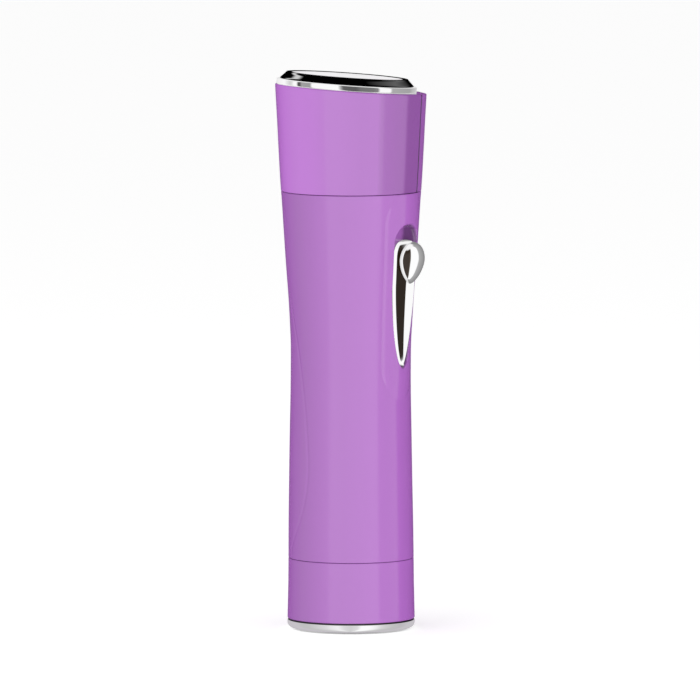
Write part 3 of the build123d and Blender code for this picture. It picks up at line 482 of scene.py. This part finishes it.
# painted side light on the lavender by the bearing faced; the head's steps are painted reflection
# edges
PAINTED_LIGHT_HEAD = [
    (-180, 0.85), (-120, 0.95), (-71, 1.05), (-54, 1.0), (-44, 1.0), (-30, 0.945), (-17, 0.86),
    (-5, 0.86), (8, 0.85), (21.5, 0.89), (23.5, 0.80), (32, 0.80), (47.5, 0.79), (50, 0.66),
    (57, 0.68), (68, 0.72), (74, 0.92), (90, 0.98), (180, 0.85)]
PAINTED_LIGHT_GRIP = [
    (-180, 0.85), (-120, 0.74), (-90, 0.70), (-57, 0.70), (-37, 0.76), (-21, 0.81), (-7, 0.82),
    (8, 0.87), (21, 0.93), (30, 0.98), (38, 1.0), (50, 1.06), (66, 1.04), (90, 0.95),
    (180, 0.85)]
LAVENDER = dict(colour=(0.740, 0.445, 0.825), rough=(0.20, 0.24), coat=0.9, grain=1400.0,
                strength=0.01, amount=0.006, dist=0.00002)

# one material per material slot
MATERIALS = {
    "lavender_plastic": plastic("lavender_gloss", painted_side_light=PAINTED_LIGHT_GRIP, **LAVENDER),
    "black_gloss": glinting_black("black_gloss", PAINTED_BLACK_GLINTS),
    "chrome_trim": mirror_metal("chrome_plate", PAINTED_REFLECTION_BLADE),
    "steel_plate": mirror_metal("satin_steel", PAINTED_REFLECTION_PLATE, amount=0.88, rough=(0.16, 0.28),
                                sky=1.0),
    "steel_tweezer": metal("ground_steel", (0.74, 0.75, 0.77), rough=(0.18, 0.32),
                           brushed=(60, 60, 8), strength=0.08, amount=0.06),
    "steel_shaft": metal("shaft_steel", (0.70, 0.71, 0.73), rough=(0.15, 0.25),
                         brushed=(8, 8, 120), strength=0.06),
    "screw_steel": metal("zinc_screw", (0.60, 0.61, 0.62), rough=(0.22, 0.40),
                         strength=0.10, amount=0.08),
    "nickel": metal("nickel_strip", (0.80, 0.78, 0.72), rough=(0.12, 0.26),
                    brushed=(90, 8, 8), strength=0.06, amount=0.06),
    "motor_steel": metal("motor_can_steel", (0.66, 0.67, 0.68), rough=(0.24, 0.40),
                         brushed=(10, 10, 140), strength=0.08, amount=0.07),
    "bronze": metal("sintered_bronze", (0.70, 0.52, 0.33), rough=(0.34, 0.52),
                    strength=0.30, amount=0.14, scale=900.0),
    "magnet": metal("ferrite", (0.15, 0.15, 0.16), rough=(0.45, 0.65),
                    strength=0.35, amount=0.15, scale=700.0),
    "armature": metal("lacquered_copper", (0.62, 0.34, 0.20), rough=(0.25, 0.45),
                      brushed=(8, 8, 400), strength=0.25, amount=0.16),
    "dark_frame": plastic("dark_moulding", (0.155, 0.155, 0.165), rough=(0.42, 0.58),
                          grain=2600.0, strength=0.25, amount=0.06),
    "white_pom": plastic("white_acetal", (0.90, 0.90, 0.87), rough=(0.32, 0.44),
                         grain=1600.0, strength=0.08, amount=0.02),
    "switch_body": plastic("black_moulding", (0.06, 0.06, 0.065), rough=(0.36, 0.52),
                           grain=2400.0, strength=0.2, amount=0.08),
    "seal_rubber": plastic("seal_rubber", (0.05, 0.05, 0.052), rough=(0.55, 0.72),
                           grain=2200.0, strength=0.3, amount=0.10, spec=0.3),
    "foot_rubber": plastic("foot_rubber", (0.17, 0.17, 0.18), rough=(0.62, 0.80),
                           grain=1800.0, strength=0.4, amount=0.10, spec=0.3),
    "board_green": plastic("solder_mask", (0.07, 0.27, 0.15), rough=(0.22, 0.36),
                           grain=700.0, strength=0.18, amount=0.12),
    "cell_wrap": plastic("cell_wrap", (0.15, 0.33, 0.62), rough=(0.22, 0.36),
                         grain=500.0, strength=0.12, amount=0.05),
    "lead_red": plastic("lead_red", (0.66, 0.07, 0.07), rough=(0.40, 0.55),
                        grain=1500.0, strength=0.1),
    "lead_black": plastic("lead_black", (0.03, 0.03, 0.03), rough=(0.40, 0.55),
                          grain=1500.0, strength=0.1),
}
for name, piece in nodes.items():
    material = MATERIALS[slot_of[name]]
    if len(piece.material_slots) == 0:
        piece.data.materials.append(material)
    for slot in piece.material_slots:
        slot.link = "OBJECT"
        slot.material = material

RIM_CHROME = mirror_metal("chrome_rim", PAINTED_REFLECTION_RIM)
BEAD_CHROME = mirror_metal("chrome_bead", PAINTED_REFLECTION_BEAD, zenith=(0.80, 0.95))
BASE_CHROME = mirror_metal("chrome_base", PAINTED_REFLECTION_BASE, amount=0.85, rough=(0.10, 0.18))
# copy of the lavender with the head's own painted side light and painted reflection steps
HEAD_LAVENDER = plastic("lavender_gloss_head", painted_side_light=PAINTED_LIGHT_HEAD, **LAVENDER)


def paint_shade_black(piece, chosen):
    """Paints shade: gives the faces that pass a test the dull black moulding, as a dark gap."""
    piece.data.materials.append(MATERIALS["switch_body"])
    for face in piece.data.polygons:
        if chosen(face):
            face.material_index = 1


# ------------------------------------------------------------------ grip surface
# The section is a circle, bulged by a shifted circle on the switch's side (the pad) and by
# another opposite it (the back).
PAD_SHIFT, PAD_RISE, PAD_FADE_Z = 4.2, 0.6, 72
BACK_SHIFT, BACK_RISE = 0.7, 0.34


def pad_rise(z):
    """How far the pad stands out: full above PAD_FADE_Z, less again near the seam."""
    rise = PAD_RISE * (1 - (np.maximum(PAD_FADE_Z - z, 0) / 9.0) ** 2)
    return np.maximum(rise, -0.6) - 0.38 * np.clip((z - 110) / (SEAM_Z - 110), 0, 1) ** 2


def back_rise(z):
    return BACK_RISE * (1 - ((z - 53.0) / 38.0) ** 2) + 0.02


def grip_radius(angle, z):
    """Radius of the grip, without the pocket, at an angle from +X and a height."""
    swept = grip_sweep(z)
    bearing = angle - SWITCH_ANGLE
    pad = shifted_circle(bearing, swept - PAD_SHIFT + pad_rise(z), PAD_SHIFT)
    back = shifted_circle(bearing - math.pi, swept - BACK_SHIFT + back_rise(z), BACK_SHIFT)
    radius = smax(smax(swept, pad, 0.05), back, 0.05) - 0.012
    # fine groove round the pad, where it leaves the sweep
    groove = np.where(np.cos(bearing) > 0.6, 0.09 * np.exp(-((swept - pad) / 0.05) ** 2), 0.0)
    radius = radius - groove * np.clip((z - 60) / 6.0, 0, 1)
    # soft bowed crease down each side of the back, faded out at both ends
    wrap = np.degrees(np.abs(np.arctan2(np.sin(bearing), np.cos(bearing))))
    away = (wrap - crease_degrees(z)) * np.pi / 180.0 * swept
    crease = 0.11 * np.exp(-(away / 0.42) ** 2)
    return radius - crease * np.clip((z - 19.8) / 3.0, 0, 1) * np.clip((99 - z) / 7.0, 0, 1)


# ------------------------------------------------------------------ pocket outline
# in track coordinates: across, and along from the track's origin
OVAL_POWER = 2.6                    # superellipse of the slide's top and the pocket's arch
SLIDE_OVAL_START, SLIDE_OVAL_R = 27.6, 5.0
TAIL_TOP = 20.0                     # the slide narrows below this
POCKET_GAP, POCKET_HALF = 0.38, 5.3
ARCH_START = 30.8


def half_width(along):
    """Half width of the slide at a height along the track."""
    reach = np.abs(along - SLIDE_OVAL_START) / SLIDE_OVAL_R
    oval = SLIDE_OVAL_R * np.maximum(1 - reach ** OVAL_POWER, 0) ** (1 / OVAL_POWER)
    q = np.clip((TAIL_TOP - along) / 21.5, 0, 1)
    tail = 4.98 * np.sqrt(np.maximum(1 - q ** 1.75, 0)) * (1 - 0.18 * q)
    return np.where(along > SLIDE_OVAL_START, oval, np.where(along > TAIL_TOP, 4.99, tail))


def pocket_outline():
    """Outline of the pocket's floor: close round the slide, with an arch above for its travel."""
    right = [(POCKET_HALF, TAIL_TOP + (ARCH_START - TAIL_TOP) * i / 12) for i in range(12)]
    arch = []
    for i in range(33):
        x, y = math.cos(math.pi * i / 32), math.sin(math.pi * i / 32)
        arch.append((math.copysign(POCKET_HALF * abs(x) ** (2 / OVAL_POWER), x),
                     ARCH_START + POCKET_HALF * abs(y) ** (2 / OVAL_POWER)))
    left = [(-x, y) for x, y in reversed(right)]
    tail = []
    for i in range(1, 40):
        y = TAIL_TOP - 21.6 * (1 - (1 - i / 40.0) ** 2)
        spare = POCKET_GAP + 0.06 * max(0.0, (y - 14) / 6.0)
        tail.append((float(half_width(np.array(y))) + spare, y))
    tail_left = [(-x, y) for x, y in tail]
    side_y = -1.66 - POCKET_GAP * 0.4
    tip = [(-0.35, side_y), (0.0, -1.74 - POCKET_GAP * 0.5), (0.35, side_y)]
    return np.array(arch + left + tail_left + tip + tail[::-1] + right)


def outline_distance(outline, across, along):
    """Signed distance to a closed outline, negative inside."""
    points = np.stack([across.ravel(), along.ravel()], 1)
    nearest = np.full(len(points), 1e9)
    inside = np.zeros(len(points), bool)
    for a, b in zip(outline, np.roll(outline, -1, 0)):
        edge = b - a
        t = np.clip(((points - a) @ edge) / (edge @ edge), 0, 1)
        gap = points - (a + t[:, None] * edge)
        nearest = np.minimum(nearest, (gap * gap).sum(1))
        if edge[1] != 0:
            crosses = (a[1] > points[:, 1]) != (b[1] > points[:, 1])
            hit = a[0] + (points[:, 1] - a[1]) * edge[0] / edge[1]
            inside ^= crosses & (points[:, 0] < hit)
    distance = np.sqrt(nearest)
    return np.where(inside, -distance, distance).reshape(across.shape)


# ------------------------------------------------------------------ grip shell
# degrees from the switch's direction: (start, stop, step, quick step); fine round the pocket,
# medium across the creases
GRIP_COLUMNS = [
    (-34, 34.01, 0.55, 0.9), (34, 100, 2.25, 4), (100, 140.01, 0.8, 2),
    (142, 220, 2.25, 4), (220, 260.01, 0.8, 2), (262, 326.01, 2.25, 4)]
# heights: (start, stop, step)
GRIP_ROWS = [
    (BASE_TOP + 1.0, 60, 0.6), (60, 68, 0.6), (68, 113, 0.24),
    (113, SEAM_Z - 0.8, 0.8)]
# (radius, z) down the inside: mouth, ledge, bore and foot
GRIP_INSIDE = [
    (18.2, SEAM_Z), (17.45, SEAM_Z), (17.25, SEAM_Z - 0.2), (17.25, 116.0), (17.25, 113.5),
    (14.25, 113.5), *[(14.25, z) for z in np.linspace(112.5, BASE_TOP + 0.5, 24)],
    (14.45, BASE_TOP), (16.2, BASE_TOP)]


def grip_angles():
    bands = [np.arange(start, stop, step)
             for start, stop, step, coarse in GRIP_COLUMNS]
    degrees = sorted(set(np.round(np.concatenate(bands), 4)))
    if abs(degrees[-1] - degrees[0] - 360) < 1e-6:
        degrees.pop()
    return [SWITCH_ANGLE + math.radians(d) for d in degrees]


def grip_heights():
    curl = [SEAM_ROUND * (1 - math.cos(a)) for a in np.linspace(0, math.pi / 2, 5)]
    rows = [z for band in GRIP_ROWS for z in np.arange(*band)]
    return np.array([BASE_TOP + h for h in curl] + rows + [SEAM_Z - h for h in curl[::-1]])


def grip_mesh():
    angles, heights = grip_angles(), grip_heights()
    angle, z = np.meshgrid(np.array(angles), heights, indexing="ij")
    radius = grip_radius(angle, z)
    # small radius at both edges, which draws the seams
    low = np.clip((BASE_TOP + SEAM_ROUND - z) / SEAM_ROUND, 0, 1)
    high = np.clip((z - (SEAM_Z - SEAM_ROUND)) / SEAM_ROUND, 0, 1)
    for edge in (low, high):
        radius = radius - SEAM_ROUND * (1 - np.sqrt(1 - edge ** 2))
    x, y = radius * np.cos(angle), radius * np.sin(angle)

    # pocket, pressed in against the switch's direction
    out = x * SWITCH_DIR[0] + y * SWITCH_DIR[1]
    across = x * ACROSS[0] + y * ACROSS[1]
    along = (z - TRACK_Z) / math.cos(TRACK_TILT)
    zone = (out > 0) & (np.abs(across) < 9) & (z > 66) & (z < 115)
    distance = np.where(zone, outline_distance(pocket_outline(), across, along), 50.0)
    floor = TRACK_R + (z - TRACK_Z) * math.tan(TRACK_TILT)
    # the wall's slope grows from 2 at the top to 3 lower down
    slope = 2.0 + 1.0 * np.clip((31.0 - along) / 5.0, 0, 1)
    wall = floor + slope * smax(distance, 0.0, 0.10)
    pressed = np.where(distance <= 6, smin(out, wall, 0.06), out)
    x = x + (pressed - out) * SWITCH_DIR[0]
    y = y + (pressed - out) * SWITCH_DIR[1]

    columns = []
    for j, a in enumerate(angles):
        column = [np.array([x[j, i], y[j, i], z[j, i]]) for i in range(len(heights))]
        column += [np.array([r * math.cos(a), r * math.sin(a), h]) for r, h in GRIP_INSIDE]
        columns.append(column)
    return ring_solid(columns)


def mark_pocket_shade(grip):
    """Stores how far each point of the pocket lies below the grip's surface, for painted shade."""
    points = np.empty(len(grip.data.vertices) * 3)
    grip.data.vertices.foreach_get("co", points)
    points = points.reshape(-1, 3) * 1000.0
    x, y, z = points.T
    radius = np.hypot(x, y)
    pocket_shade_depth = np.clip(grip_radius(np.arctan2(y, x), z) - radius, 0, 3)
    pocket = (radius > 14.9) & (z > 68) & (z < 113) & (points @ SWITCH_DIR > 12)
    pocket_shade_depth = np.where(pocket, pocket_shade_depth, 0.0)
    # the painted shade is weaker on the front side of the pocket
    pocket_shade_depth = pocket_shade_depth * (0.52 + 0.48 * np.tanh((points @ ACROSS) / 1.5))
    attribute = grip.data.attributes.new("pocket_shade_depth", "FLOAT", "POINT")
    attribute.data.foreach_set("value", pocket_shade_depth.astype(np.float32))


grip = make("grip_shell", grip_mesh(), "housing", MATERIALS["lavender_plastic"],
            "handle_shell", sharp=40)
# slot through the pocket's floor
cut_box(grip, on_track(0, 80.6 - TRACK_Z, -1.0), (ACROSS, TRACK_UP, TRACK_OUT),
        size=(2.6, 7.0, 7.0))
mark_pocket_shade(grip)

# ------------------------------------------------------------------ base
# closed (radius, z) profiles, from the bottom up the outside and back down the inside
SLEEVE_PROFILE = [
    (15.4, 2.95), (17.0, 2.95), *arc(16.98, 3.23, 0.28, -90, 0, 5)[1:],
    *[(17.26 - 0.21 * ((z - 3.3) / 9.7), z) for z in np.linspace(3.8, 13.0, 10)],
    *[(17.05 - 0.05 * ((z - 13.0) / 6.0), z) for z in np.linspace(14.0, BASE_TOP - 0.3, 6)],
    *arc(16.72, BASE_TOP - 0.28, 0.28, 0, 90, 5), (16.4, BASE_TOP - 0.02),
    (14.1, 19.38), (14.1, 21.0), (13.5, 21.0), (13.5, 22.3), (14.1, 22.3), (14.1, 24.0),
    (13.8, 24.3), (12.4, 24.3), (12.4, 16.6), (4.0, 16.6), (4.0, 14.4), (15.4, 14.4)]
BASE_RING_PROFILE = [
    (15.5, 0.45), (15.8, 0.40), *arc(15.85, 1.83, 1.43, -88, -8, 12), (17.29, 1.85),
    (17.3, 2.1), (17.3, 2.3), *arc(17.12, 2.36, 0.16, 0, 88, 4), (16.75, 2.52), (16.72, 2.84),
    (15.5, 2.84)]

make("base_sleeve", lathe(SLEEVE_PROFILE), "housing", MATERIALS["lavender_plastic"],
     "base_cap", sharp=40)
base_ring = make("base_ring", lathe(BASE_RING_PROFILE), "housing", BASE_CHROME,
                 "base_trim_ring", sharp=40)
# painted shade: the step under the sleeve gets the dull black, so the gap reads as a dark line
paint_shade_black(base_ring, lambda face: face.center.z > 0.00250
        and math.hypot(face.center.x, face.center.y) < 0.01700)

# ------------------------------------------------------------------ head shell
# The wall is set back over a sector at +X, the rim's low side, where the strip lies.
STRIP_SECTOR, SECTOR_EDGE = 21.8, 21.75     # degrees either side; the step lies between them
STRIP_RECESS = 1.12
HEAD_ROUND = 0.45                   # edge radius at the rim
OPENING_R, OPENING_DEPTH = 15.3, 1.9
# (radius, z) down the inside, to the foot
HEAD_INSIDE = [
    (18.05, 138.0), (17.75, 133.0), (17.4, 128.6), (14.6, 128.6), (14.6, 127.0), (17.2, 127.0),
    (17.0, 125.0), (17.0, 122.0), (17.0, SEAM_Z + 0.24), (17.2, SEAM_Z + 0.04)]


def head_column(degrees):
    """Closed profile of the head at an angle from +X."""
    angle = math.radians(degrees)
    cos_a, sin_a = math.cos(angle), math.sin(angle)
    in_sector = abs(degrees) < 21.78
    recess = STRIP_RECESS if in_sector else 0.0
    column = []

    def put(r, z):
        column.append(np.array([r * cos_a, r * sin_a, z]))

    def on_rim(r, offset=0.0):
        return rim_height(r * cos_a, r * sin_a, offset)

    def wall(z):
        return float(head_sweep(z)) - recess

    # find where the outer wall meets the rim plane
    top = RIM_CENTRE[2]
    for _ in range(6):
        top = on_rim(float(head_sweep(top)))
    # foot, a hairline above the grip
    foot = SEAM_Z + 0.04
    for a in np.linspace(0, math.pi / 2, 5):
        z = foot + SEAM_ROUND * (1 - math.cos(a))
        put(wall(z) - SEAM_ROUND * (1 - math.sin(a)), z)
    put(wall(SEAM_Z + 0.5), SEAM_Z + 0.5)
    for z in np.linspace(SEAM_Z + 1.5, top - HEAD_ROUND, 26):
        put(wall(z), z)
    for a in np.linspace(0, math.pi / 2, 7)[1:]:
        r = wall(top) - HEAD_ROUND * (1 - math.cos(a))
        put(r, on_rim(r) - HEAD_ROUND * (1 - math.sin(a)))
    # across the rim to the opening, which is centred on the rim's own axis
    edge = math.hypot(column[-1][0], column[-1][1])
    mouth = float(shifted_circle(angle, OPENING_R, RIM_CENTRE[0]))
    for part in (0.35, 0.7):
        r = edge + (mouth - edge) * part
        put(r, on_rim(r))
    put(mouth, on_rim(mouth))
    put(mouth, on_rim(mouth, -OPENING_DEPTH))
    put(18.35, on_rim(18.35, -OPENING_DEPTH))
    for r, z in HEAD_INSIDE:
        put(min(r, wall(z) - 0.15) if in_sector else r, z)
    return column


def head_mesh():
    steps = [(-STRIP_SECTOR), -SECTOR_EDGE, SECTOR_EDGE, STRIP_SECTOR]
    angles = sorted(set([*np.linspace(-180, 180, 241)[:-1], *steps]))
    return ring_solid([head_column(degrees) for degrees in angles])


make("head_housing", head_mesh(), "head", HEAD_LAVENDER, "head_shell",
     sharp=35)

# ------------------------------------------------------------------ head strip
STRIP_R = 20.0                      # radius at which its width is measured
STRIP_HALF = math.radians(20.6) * STRIP_R
STRIP_TOP_R = 20.4                  # radius at which its top edge follows the rim
STRIP_CORNER, STRIP_EDGE = 0.5, 0.28
STRIP_THICK = 1.05


def strip_mesh():
    """Curved strip on the low side, rounded all round."""
    steps_across, steps_up = 44, 60
    across = np.sin(np.linspace(-1, 1, steps_across + 1) * math.pi / 2)
    up = (1 - np.cos(np.linspace(0, 1, steps_up + 1) * math.pi)) / 2
    bottom = SEAM_Z + 0.05
    top = rim_height(STRIP_TOP_R, 0) - 0.12
    front, back = [], []
    for u in across:
        front_row, back_row = [], []
        for q in up:
            z = bottom + (top - bottom) * q
            # the half width shrinks round the four corners
            half = STRIP_HALF
            for over in (z - (top - STRIP_CORNER), bottom + STRIP_CORNER - z):
                if over > 0:
                    rounded = math.sqrt(max(STRIP_CORNER ** 2 - over ** 2, 0))
                    half = min(half, STRIP_HALF - STRIP_CORNER + rounded)
            x = u * half
            angle = x / STRIP_R
            cos_a, sin_a = math.cos(angle), math.sin(angle)
            to_edge = min(half - abs(x), z - bottom, top - z)
            drop = 0.0
            if to_edge <= STRIP_EDGE:
                inner = max(STRIP_EDGE ** 2 - (STRIP_EDGE - to_edge) ** 2, 0)
                drop = STRIP_EDGE - math.sqrt(inner)
            r = float(head_sweep(z)) - drop
            r_back = float(head_sweep(z)) - STRIP_THICK
            # the top edge runs parallel to the rim
            local_top = rim_height(STRIP_TOP_R * cos_a, STRIP_TOP_R * sin_a) - 0.06
            level = bottom + (z - bottom) * (local_top - bottom) / (top - bottom)
            level = min(level, rim_height(r * cos_a, r * sin_a) - 0.02)
            front_row.append((r * cos_a, r * sin_a, level))
            back_row.append((r_back * cos_a, r_back * sin_a, level))
        front.append(front_row)
        back.append(back_row)
    return slab(front, back)


def faces_sideways(face):
    angle = math.atan2(face.center.y, face.center.x)
    return abs(-math.sin(angle) * face.normal.x + math.cos(angle) * face.normal.y) > 0.38


strip = make("head_strip", strip_mesh(), "head", HEAD_LAVENDER,
             "head_front_panel", sharp=45)
# painted shade: the two long sides get the dull black, so the parting line reads dark
paint_shade_black(strip, faces_sideways)

# ------------------------------------------------------------------ rim
# closed (radius, height over the rim plane) profiles, turned about the rim's axis
RIM_RING_PROFILE = [
    (16.65, 0.03), (18.85, 0.03), *arc(18.83, 0.24, 0.20, -85, -5, 5), (19.04, 0.45),
    (19.05, 0.75), (19.04, 1.05), *arc(18.82, 1.27, 0.22, 5, 88, 5), (18.3, 1.49),
    (16.65, 1.49)]
BEZEL_PROFILE = [
    (14.2, -0.95), (15.2, -0.95), (15.2, 0.02), (16.5, 0.02), (16.5, 1.52), (18.0, 1.52),
    *arc(18.0, 1.66, 0.14, -80, 30, 5),
    *[(18.0 - 1.5 * q, 1.86 + 1.5 * q) for q in (0.1, 0.35, 0.65, 0.92)],
    *arc(16.38, 3.28, 0.2, 45, 92, 4), (15.9, 3.49), (15.3, 3.49), (15.18, 3.4), (15.18, 2.55),
    (14.2, 2.55)]
RIM_AXES = (RIM_X, RIM_Y, RIM_AXIS)

make("rim_ring", lathe(RIM_RING_PROFILE, RIM_CENTRE, RIM_AXES), "head", RIM_CHROME,
     "head_trim_ring", sharp=40)
make("rim_bezel", lathe(BEZEL_PROFILE, RIM_CENTRE, RIM_AXES), "head",
     MATERIALS["black_gloss"], "head_bezel", sharp=38)

# ------------------------------------------------------------------ slide switch
SLIDE_START, SLIDE_LENGTH = -1.5, 34.1      # along the track
SLIDE_CLEARANCE = 0.12              # underside over the track
SLIDE_EDGE, SLIDE_BEVEL = 0.80, 0.24        # height of the facets' low edge; bevel's width
KEEL = -0.36                        # place of the keel across the half width, nearer the front
BEAD_START, BEAD_LENGTH = 20.9, 11.4
BEAD_WIDEST, BEAD_R = 6.5, 4.7      # place along the bead of its greatest radius


def keel_height(along):
    """Height of the keel over the slide's underside."""
    return 1.30 + 1.5 / 40.0 * (along + 6)


def slide_mesh():
    """Boat shape: flat underside, two hollow facets meeting in a keel, bevelled, pointed below."""
    steps_along, steps_across = ((150, 56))
    t = (1 - np.cos(np.linspace(0, 1, steps_along + 1) * math.pi)) / 2
    half = np.sin(np.linspace(0, 1, steps_across // 2 + 1) * math.pi / 2)
    places = np.concatenate([KEEL - (1 + KEEL) * half[::-1], KEEL + (1 - KEEL) * half[1:]])
    top, bottom = [], []
    for along in SLIDE_START + SLIDE_LENGTH * t:
        width = max(float(half_width(np.array(along))), 0.02)
        crest = keel_height(along)
        keel = KEEL * width
        top_row, bottom_row = [], []
        for place in places:
            x = place * width
            side = -width if x < keel else width
            # each facet falls from the keel to a low edge, a little hollow
            a = (x - keel) / (side - keel)
            height = crest - (crest - SLIDE_EDGE) * (1.12 * a - 0.12 * a * a)
            to_edge = max(width - abs(x), 0)
            if to_edge <= SLIDE_BEVEL:
                height -= 1.3 * (SLIDE_BEVEL - to_edge)
            top_row.append(on_track(x, along, SLIDE_CLEARANCE + max(height, 0.25)))
            bottom_row.append(on_track(x, along, SLIDE_CLEARANCE))
        top.append(top_row)
        bottom.append(bottom_row)
    return slab(top, bottom, flip=True)


def bead_radius(y):
    """Radius of the drop at y along its length."""
    if y > BEAD_WIDEST:
        reach = (y - BEAD_WIDEST) / (BEAD_LENGTH - BEAD_WIDEST)
        return BEAD_R * math.sqrt(max(1 - reach ** 2, 0))
    part = y / BEAD_WIDEST
    return BEAD_R * (math.sin(part * math.pi / 2) ** 0.58) * (0.90 + 0.10 * part)


def bead_mesh():
    """Drop on the slide's keel: fat above, drawn to a point below, flattened outwards."""
    rings, around = 72, 72
    verts, faces = [], []
    for i in range(rings + 1):
        y = BEAD_LENGTH * ((1 - math.cos(math.pi * i / rings)) / 2)
        r = bead_radius(y)
        along = BEAD_START + y
        for j in range(around):
            turn = 2 * math.pi * j / around
            rise = math.sin(turn)
            out = r * rise * (0.62 if rise > 0 else 0.52) + 0.15 * min(1.0, r / 3.0)
            verts.append(on_track(r * math.cos(turn), along,
                                  keel_height(along) + SLIDE_CLEARANCE + out))
    for i in range(rings):
        for j in range(around):
            k = (j + 1) % around
            faces.append((i * around + j, i * around + k,
                          (i + 1) * around + k, (i + 1) * around + j))
    return verts, faces


make("slide_blade", slide_mesh(), "switch", MATERIALS["chrome_trim"],
     "switch_slider", sharp=50)
make("slide_bead", bead_mesh(), "switch", BEAD_CHROME, "switch_knob", sharp=60)

# ------------------------------------------------------------------ loaded pieces
# light bevel on the edges of pieces kept as they were loaded
for name in ("guard_plate", "base_plate", "base_foot", "base_screws", "charge_socket",
             "top_deck", "drive_dog", "head_frame", "head_screws", "drum_hub"):
    bevel = nodes[name].modifiers.new("edge", "BEVEL")
    bevel.width = 0.00006
    bevel.segments = 2
    bevel.limit_method = "ANGLE"
    bevel.angle_limit = math.radians(40)
    bevel.harden_normals = False


# ------------------------------------------------------------------ stage, metres
FLOOR_HALF, FLOOR_Z = 6, -0.00004
scene = bpy.context.scene


def floor_material():
    """Matt white that glows a little and is clear from below."""
    material, tree, shader, surface = new_material("floor_white")
    look = {"Base Color": (0.93, 0.93, 0.93, 1), "Roughness": 0.9, "Specular IOR Level": 0.0,
            "Emission Color": (1, 1, 1, 1), "Emission Strength": 0.42}
    for socket, value in look.items():
        shader.inputs[socket].default_value = value
    below = node(tree, "NewGeometry").outputs["Backfacing"]
    clear = node(tree, "BsdfTransparent")
    mixed = node(tree, "MixShader", {0: below, 1: shader.outputs[0], 2: clear.outputs[0]})
    tree.links.new(mixed.outputs[0], surface)
    uneven_roughness(tree, shader, coords(tree), (0.86, 0.94), scale=3.0, detail=2.0)
    return material


def build_floor():
    material = floor_material()
    corners = [(x * FLOOR_HALF, y * FLOOR_HALF, FLOOR_Z)
               for x, y in ((-1, -1), (1, -1), (1, 1), (-1, 1))]
    data = bpy.data.meshes.new("floor")
    data.from_pydata(corners, [], [(0, 1, 2, 3)])
    floor = bpy.data.objects.new("floor", data)
    scene.collection.objects.link(floor)
    floor.data.materials.append(material)
    floor.visible_glossy = False


# light that falls on the object: broad and soft, weaker from the right and behind
SOFT_LIGHT = [
    (-180, 0.45), (-130, 0.70), (-80, 0.98), (-30, 1.02), (10, 0.98), (50, 0.80), (100, 0.50),
    (150, 0.42), (180, 0.45)]
# what glossy surfaces mirror: a wide front screen, a grey wall to its right, dark beyond
MIRRORED_ROOM = [
    (-180, (0.16, 0.06, 0.20)), (-140, (0.24, 0.10, 0.30)), (-118, (0.36, 0.24, 0.41)),
    (-100, 0.42), (-60, 0.66), (-44, 0.74), (-40, 1.0), (50, 1.0), (55, 0.52), (94, 0.50),
    (100, (0.13, 0.05, 0.17)), (140, (0.15, 0.055, 0.20)), (180, (0.16, 0.06, 0.20))]


def build_world():
    """White to the camera, the soft light to matt surfaces, the room to glossy ones."""
    world = bpy.data.worlds.new("studio")
    scene.world = world
    world.use_nodes = True
    tree = world.node_tree
    tree.nodes.clear()
    out = node(tree, "OutputWorld")
    ray = node(tree, "LightPath").outputs
    white = node(tree, "Background", {0: (1, 1, 1, 1), 1: 1.0})
    direction = node(tree, "TexCoord").outputs["Generated"]
    soft_colour, _ = bearing_ramp(tree, direction, SOFT_LIGHT)
    soft = node(tree, "Background", {0: soft_colour, 1: 0.80})
    room_colour, height = bearing_ramp(tree, direction, MIRRORED_ROOM)
    # the room darkens towards its ceiling
    fade = remap(tree, height, source=(0.45, 0.75), target=(1.0, 0.05))
    strength = node(tree, "Math", {0: fade, 1: 1.5}, operation="MULTIPLY")
    room = node(tree, "Background", {0: room_colour, 1: strength.outputs[0]})
    lit = node(tree, "MixShader", {0: ray["Is Glossy Ray"], 1: soft.outputs[0],
                                   2: room.outputs[0]})
    seen = node(tree, "MixShader", {0: ray["Is Camera Ray"], 1: lit.outputs[0],
                                    2: white.outputs[0]})
    tree.links.new(seen.outputs[0], out.inputs[0])


def aim_rotation(location, target):
    """Rotation that turns -Z from a place towards a target."""
    return (Vector(target) - Vector(location)).to_track_quat("-Z", "Y").to_euler()


def area_light(name, location, target, size, power):
    """Rectangular light, hidden from reflections; size is (width, height)."""
    data = bpy.data.lights.new(name, "AREA")
    data.shape = "RECTANGLE"
    data.size, data.size_y = size
    data.energy = power
    light = bpy.data.objects.new(name, data)
    light.location = location
    light.rotation_euler = aim_rotation(location, target)
    scene.collection.objects.link(light)
    light.visible_glossy = False


def build_camera():
    """Long lens from the front, looking slightly down."""
    data = bpy.data.cameras.new("cam")
    camera = bpy.data.objects.new("cam", data)
    scene.collection.objects.link(camera)
    elevation, distance = math.radians(5.1), 3.5
    target = Vector((-0.0003, 0, 0.0758))
    camera.location = target + Vector((0, -distance * math.cos(elevation),
                                       distance * math.sin(elevation)))
    camera.rotation_euler = aim_rotation(camera.location, target)
    data.lens = 664.0
    data.sensor_width = 36.0
    data.clip_end = 50
    scene.camera = camera


build_floor()
build_world()
area_light("key", location=(-0.55, -0.95, 0.30), target=(0, 0, 0.08), size=(0.6, 0.9), power=1.6)
area_light("top", location=(0, -0.1, 1.0), target=(0, 0, 0.1), size=(0.6, 0.6), power=1.2)
build_camera()
scene.view_settings.view_transform = "Standard"
scene.view_settings.look = "None"
scene.view_settings.exposure = 0.0
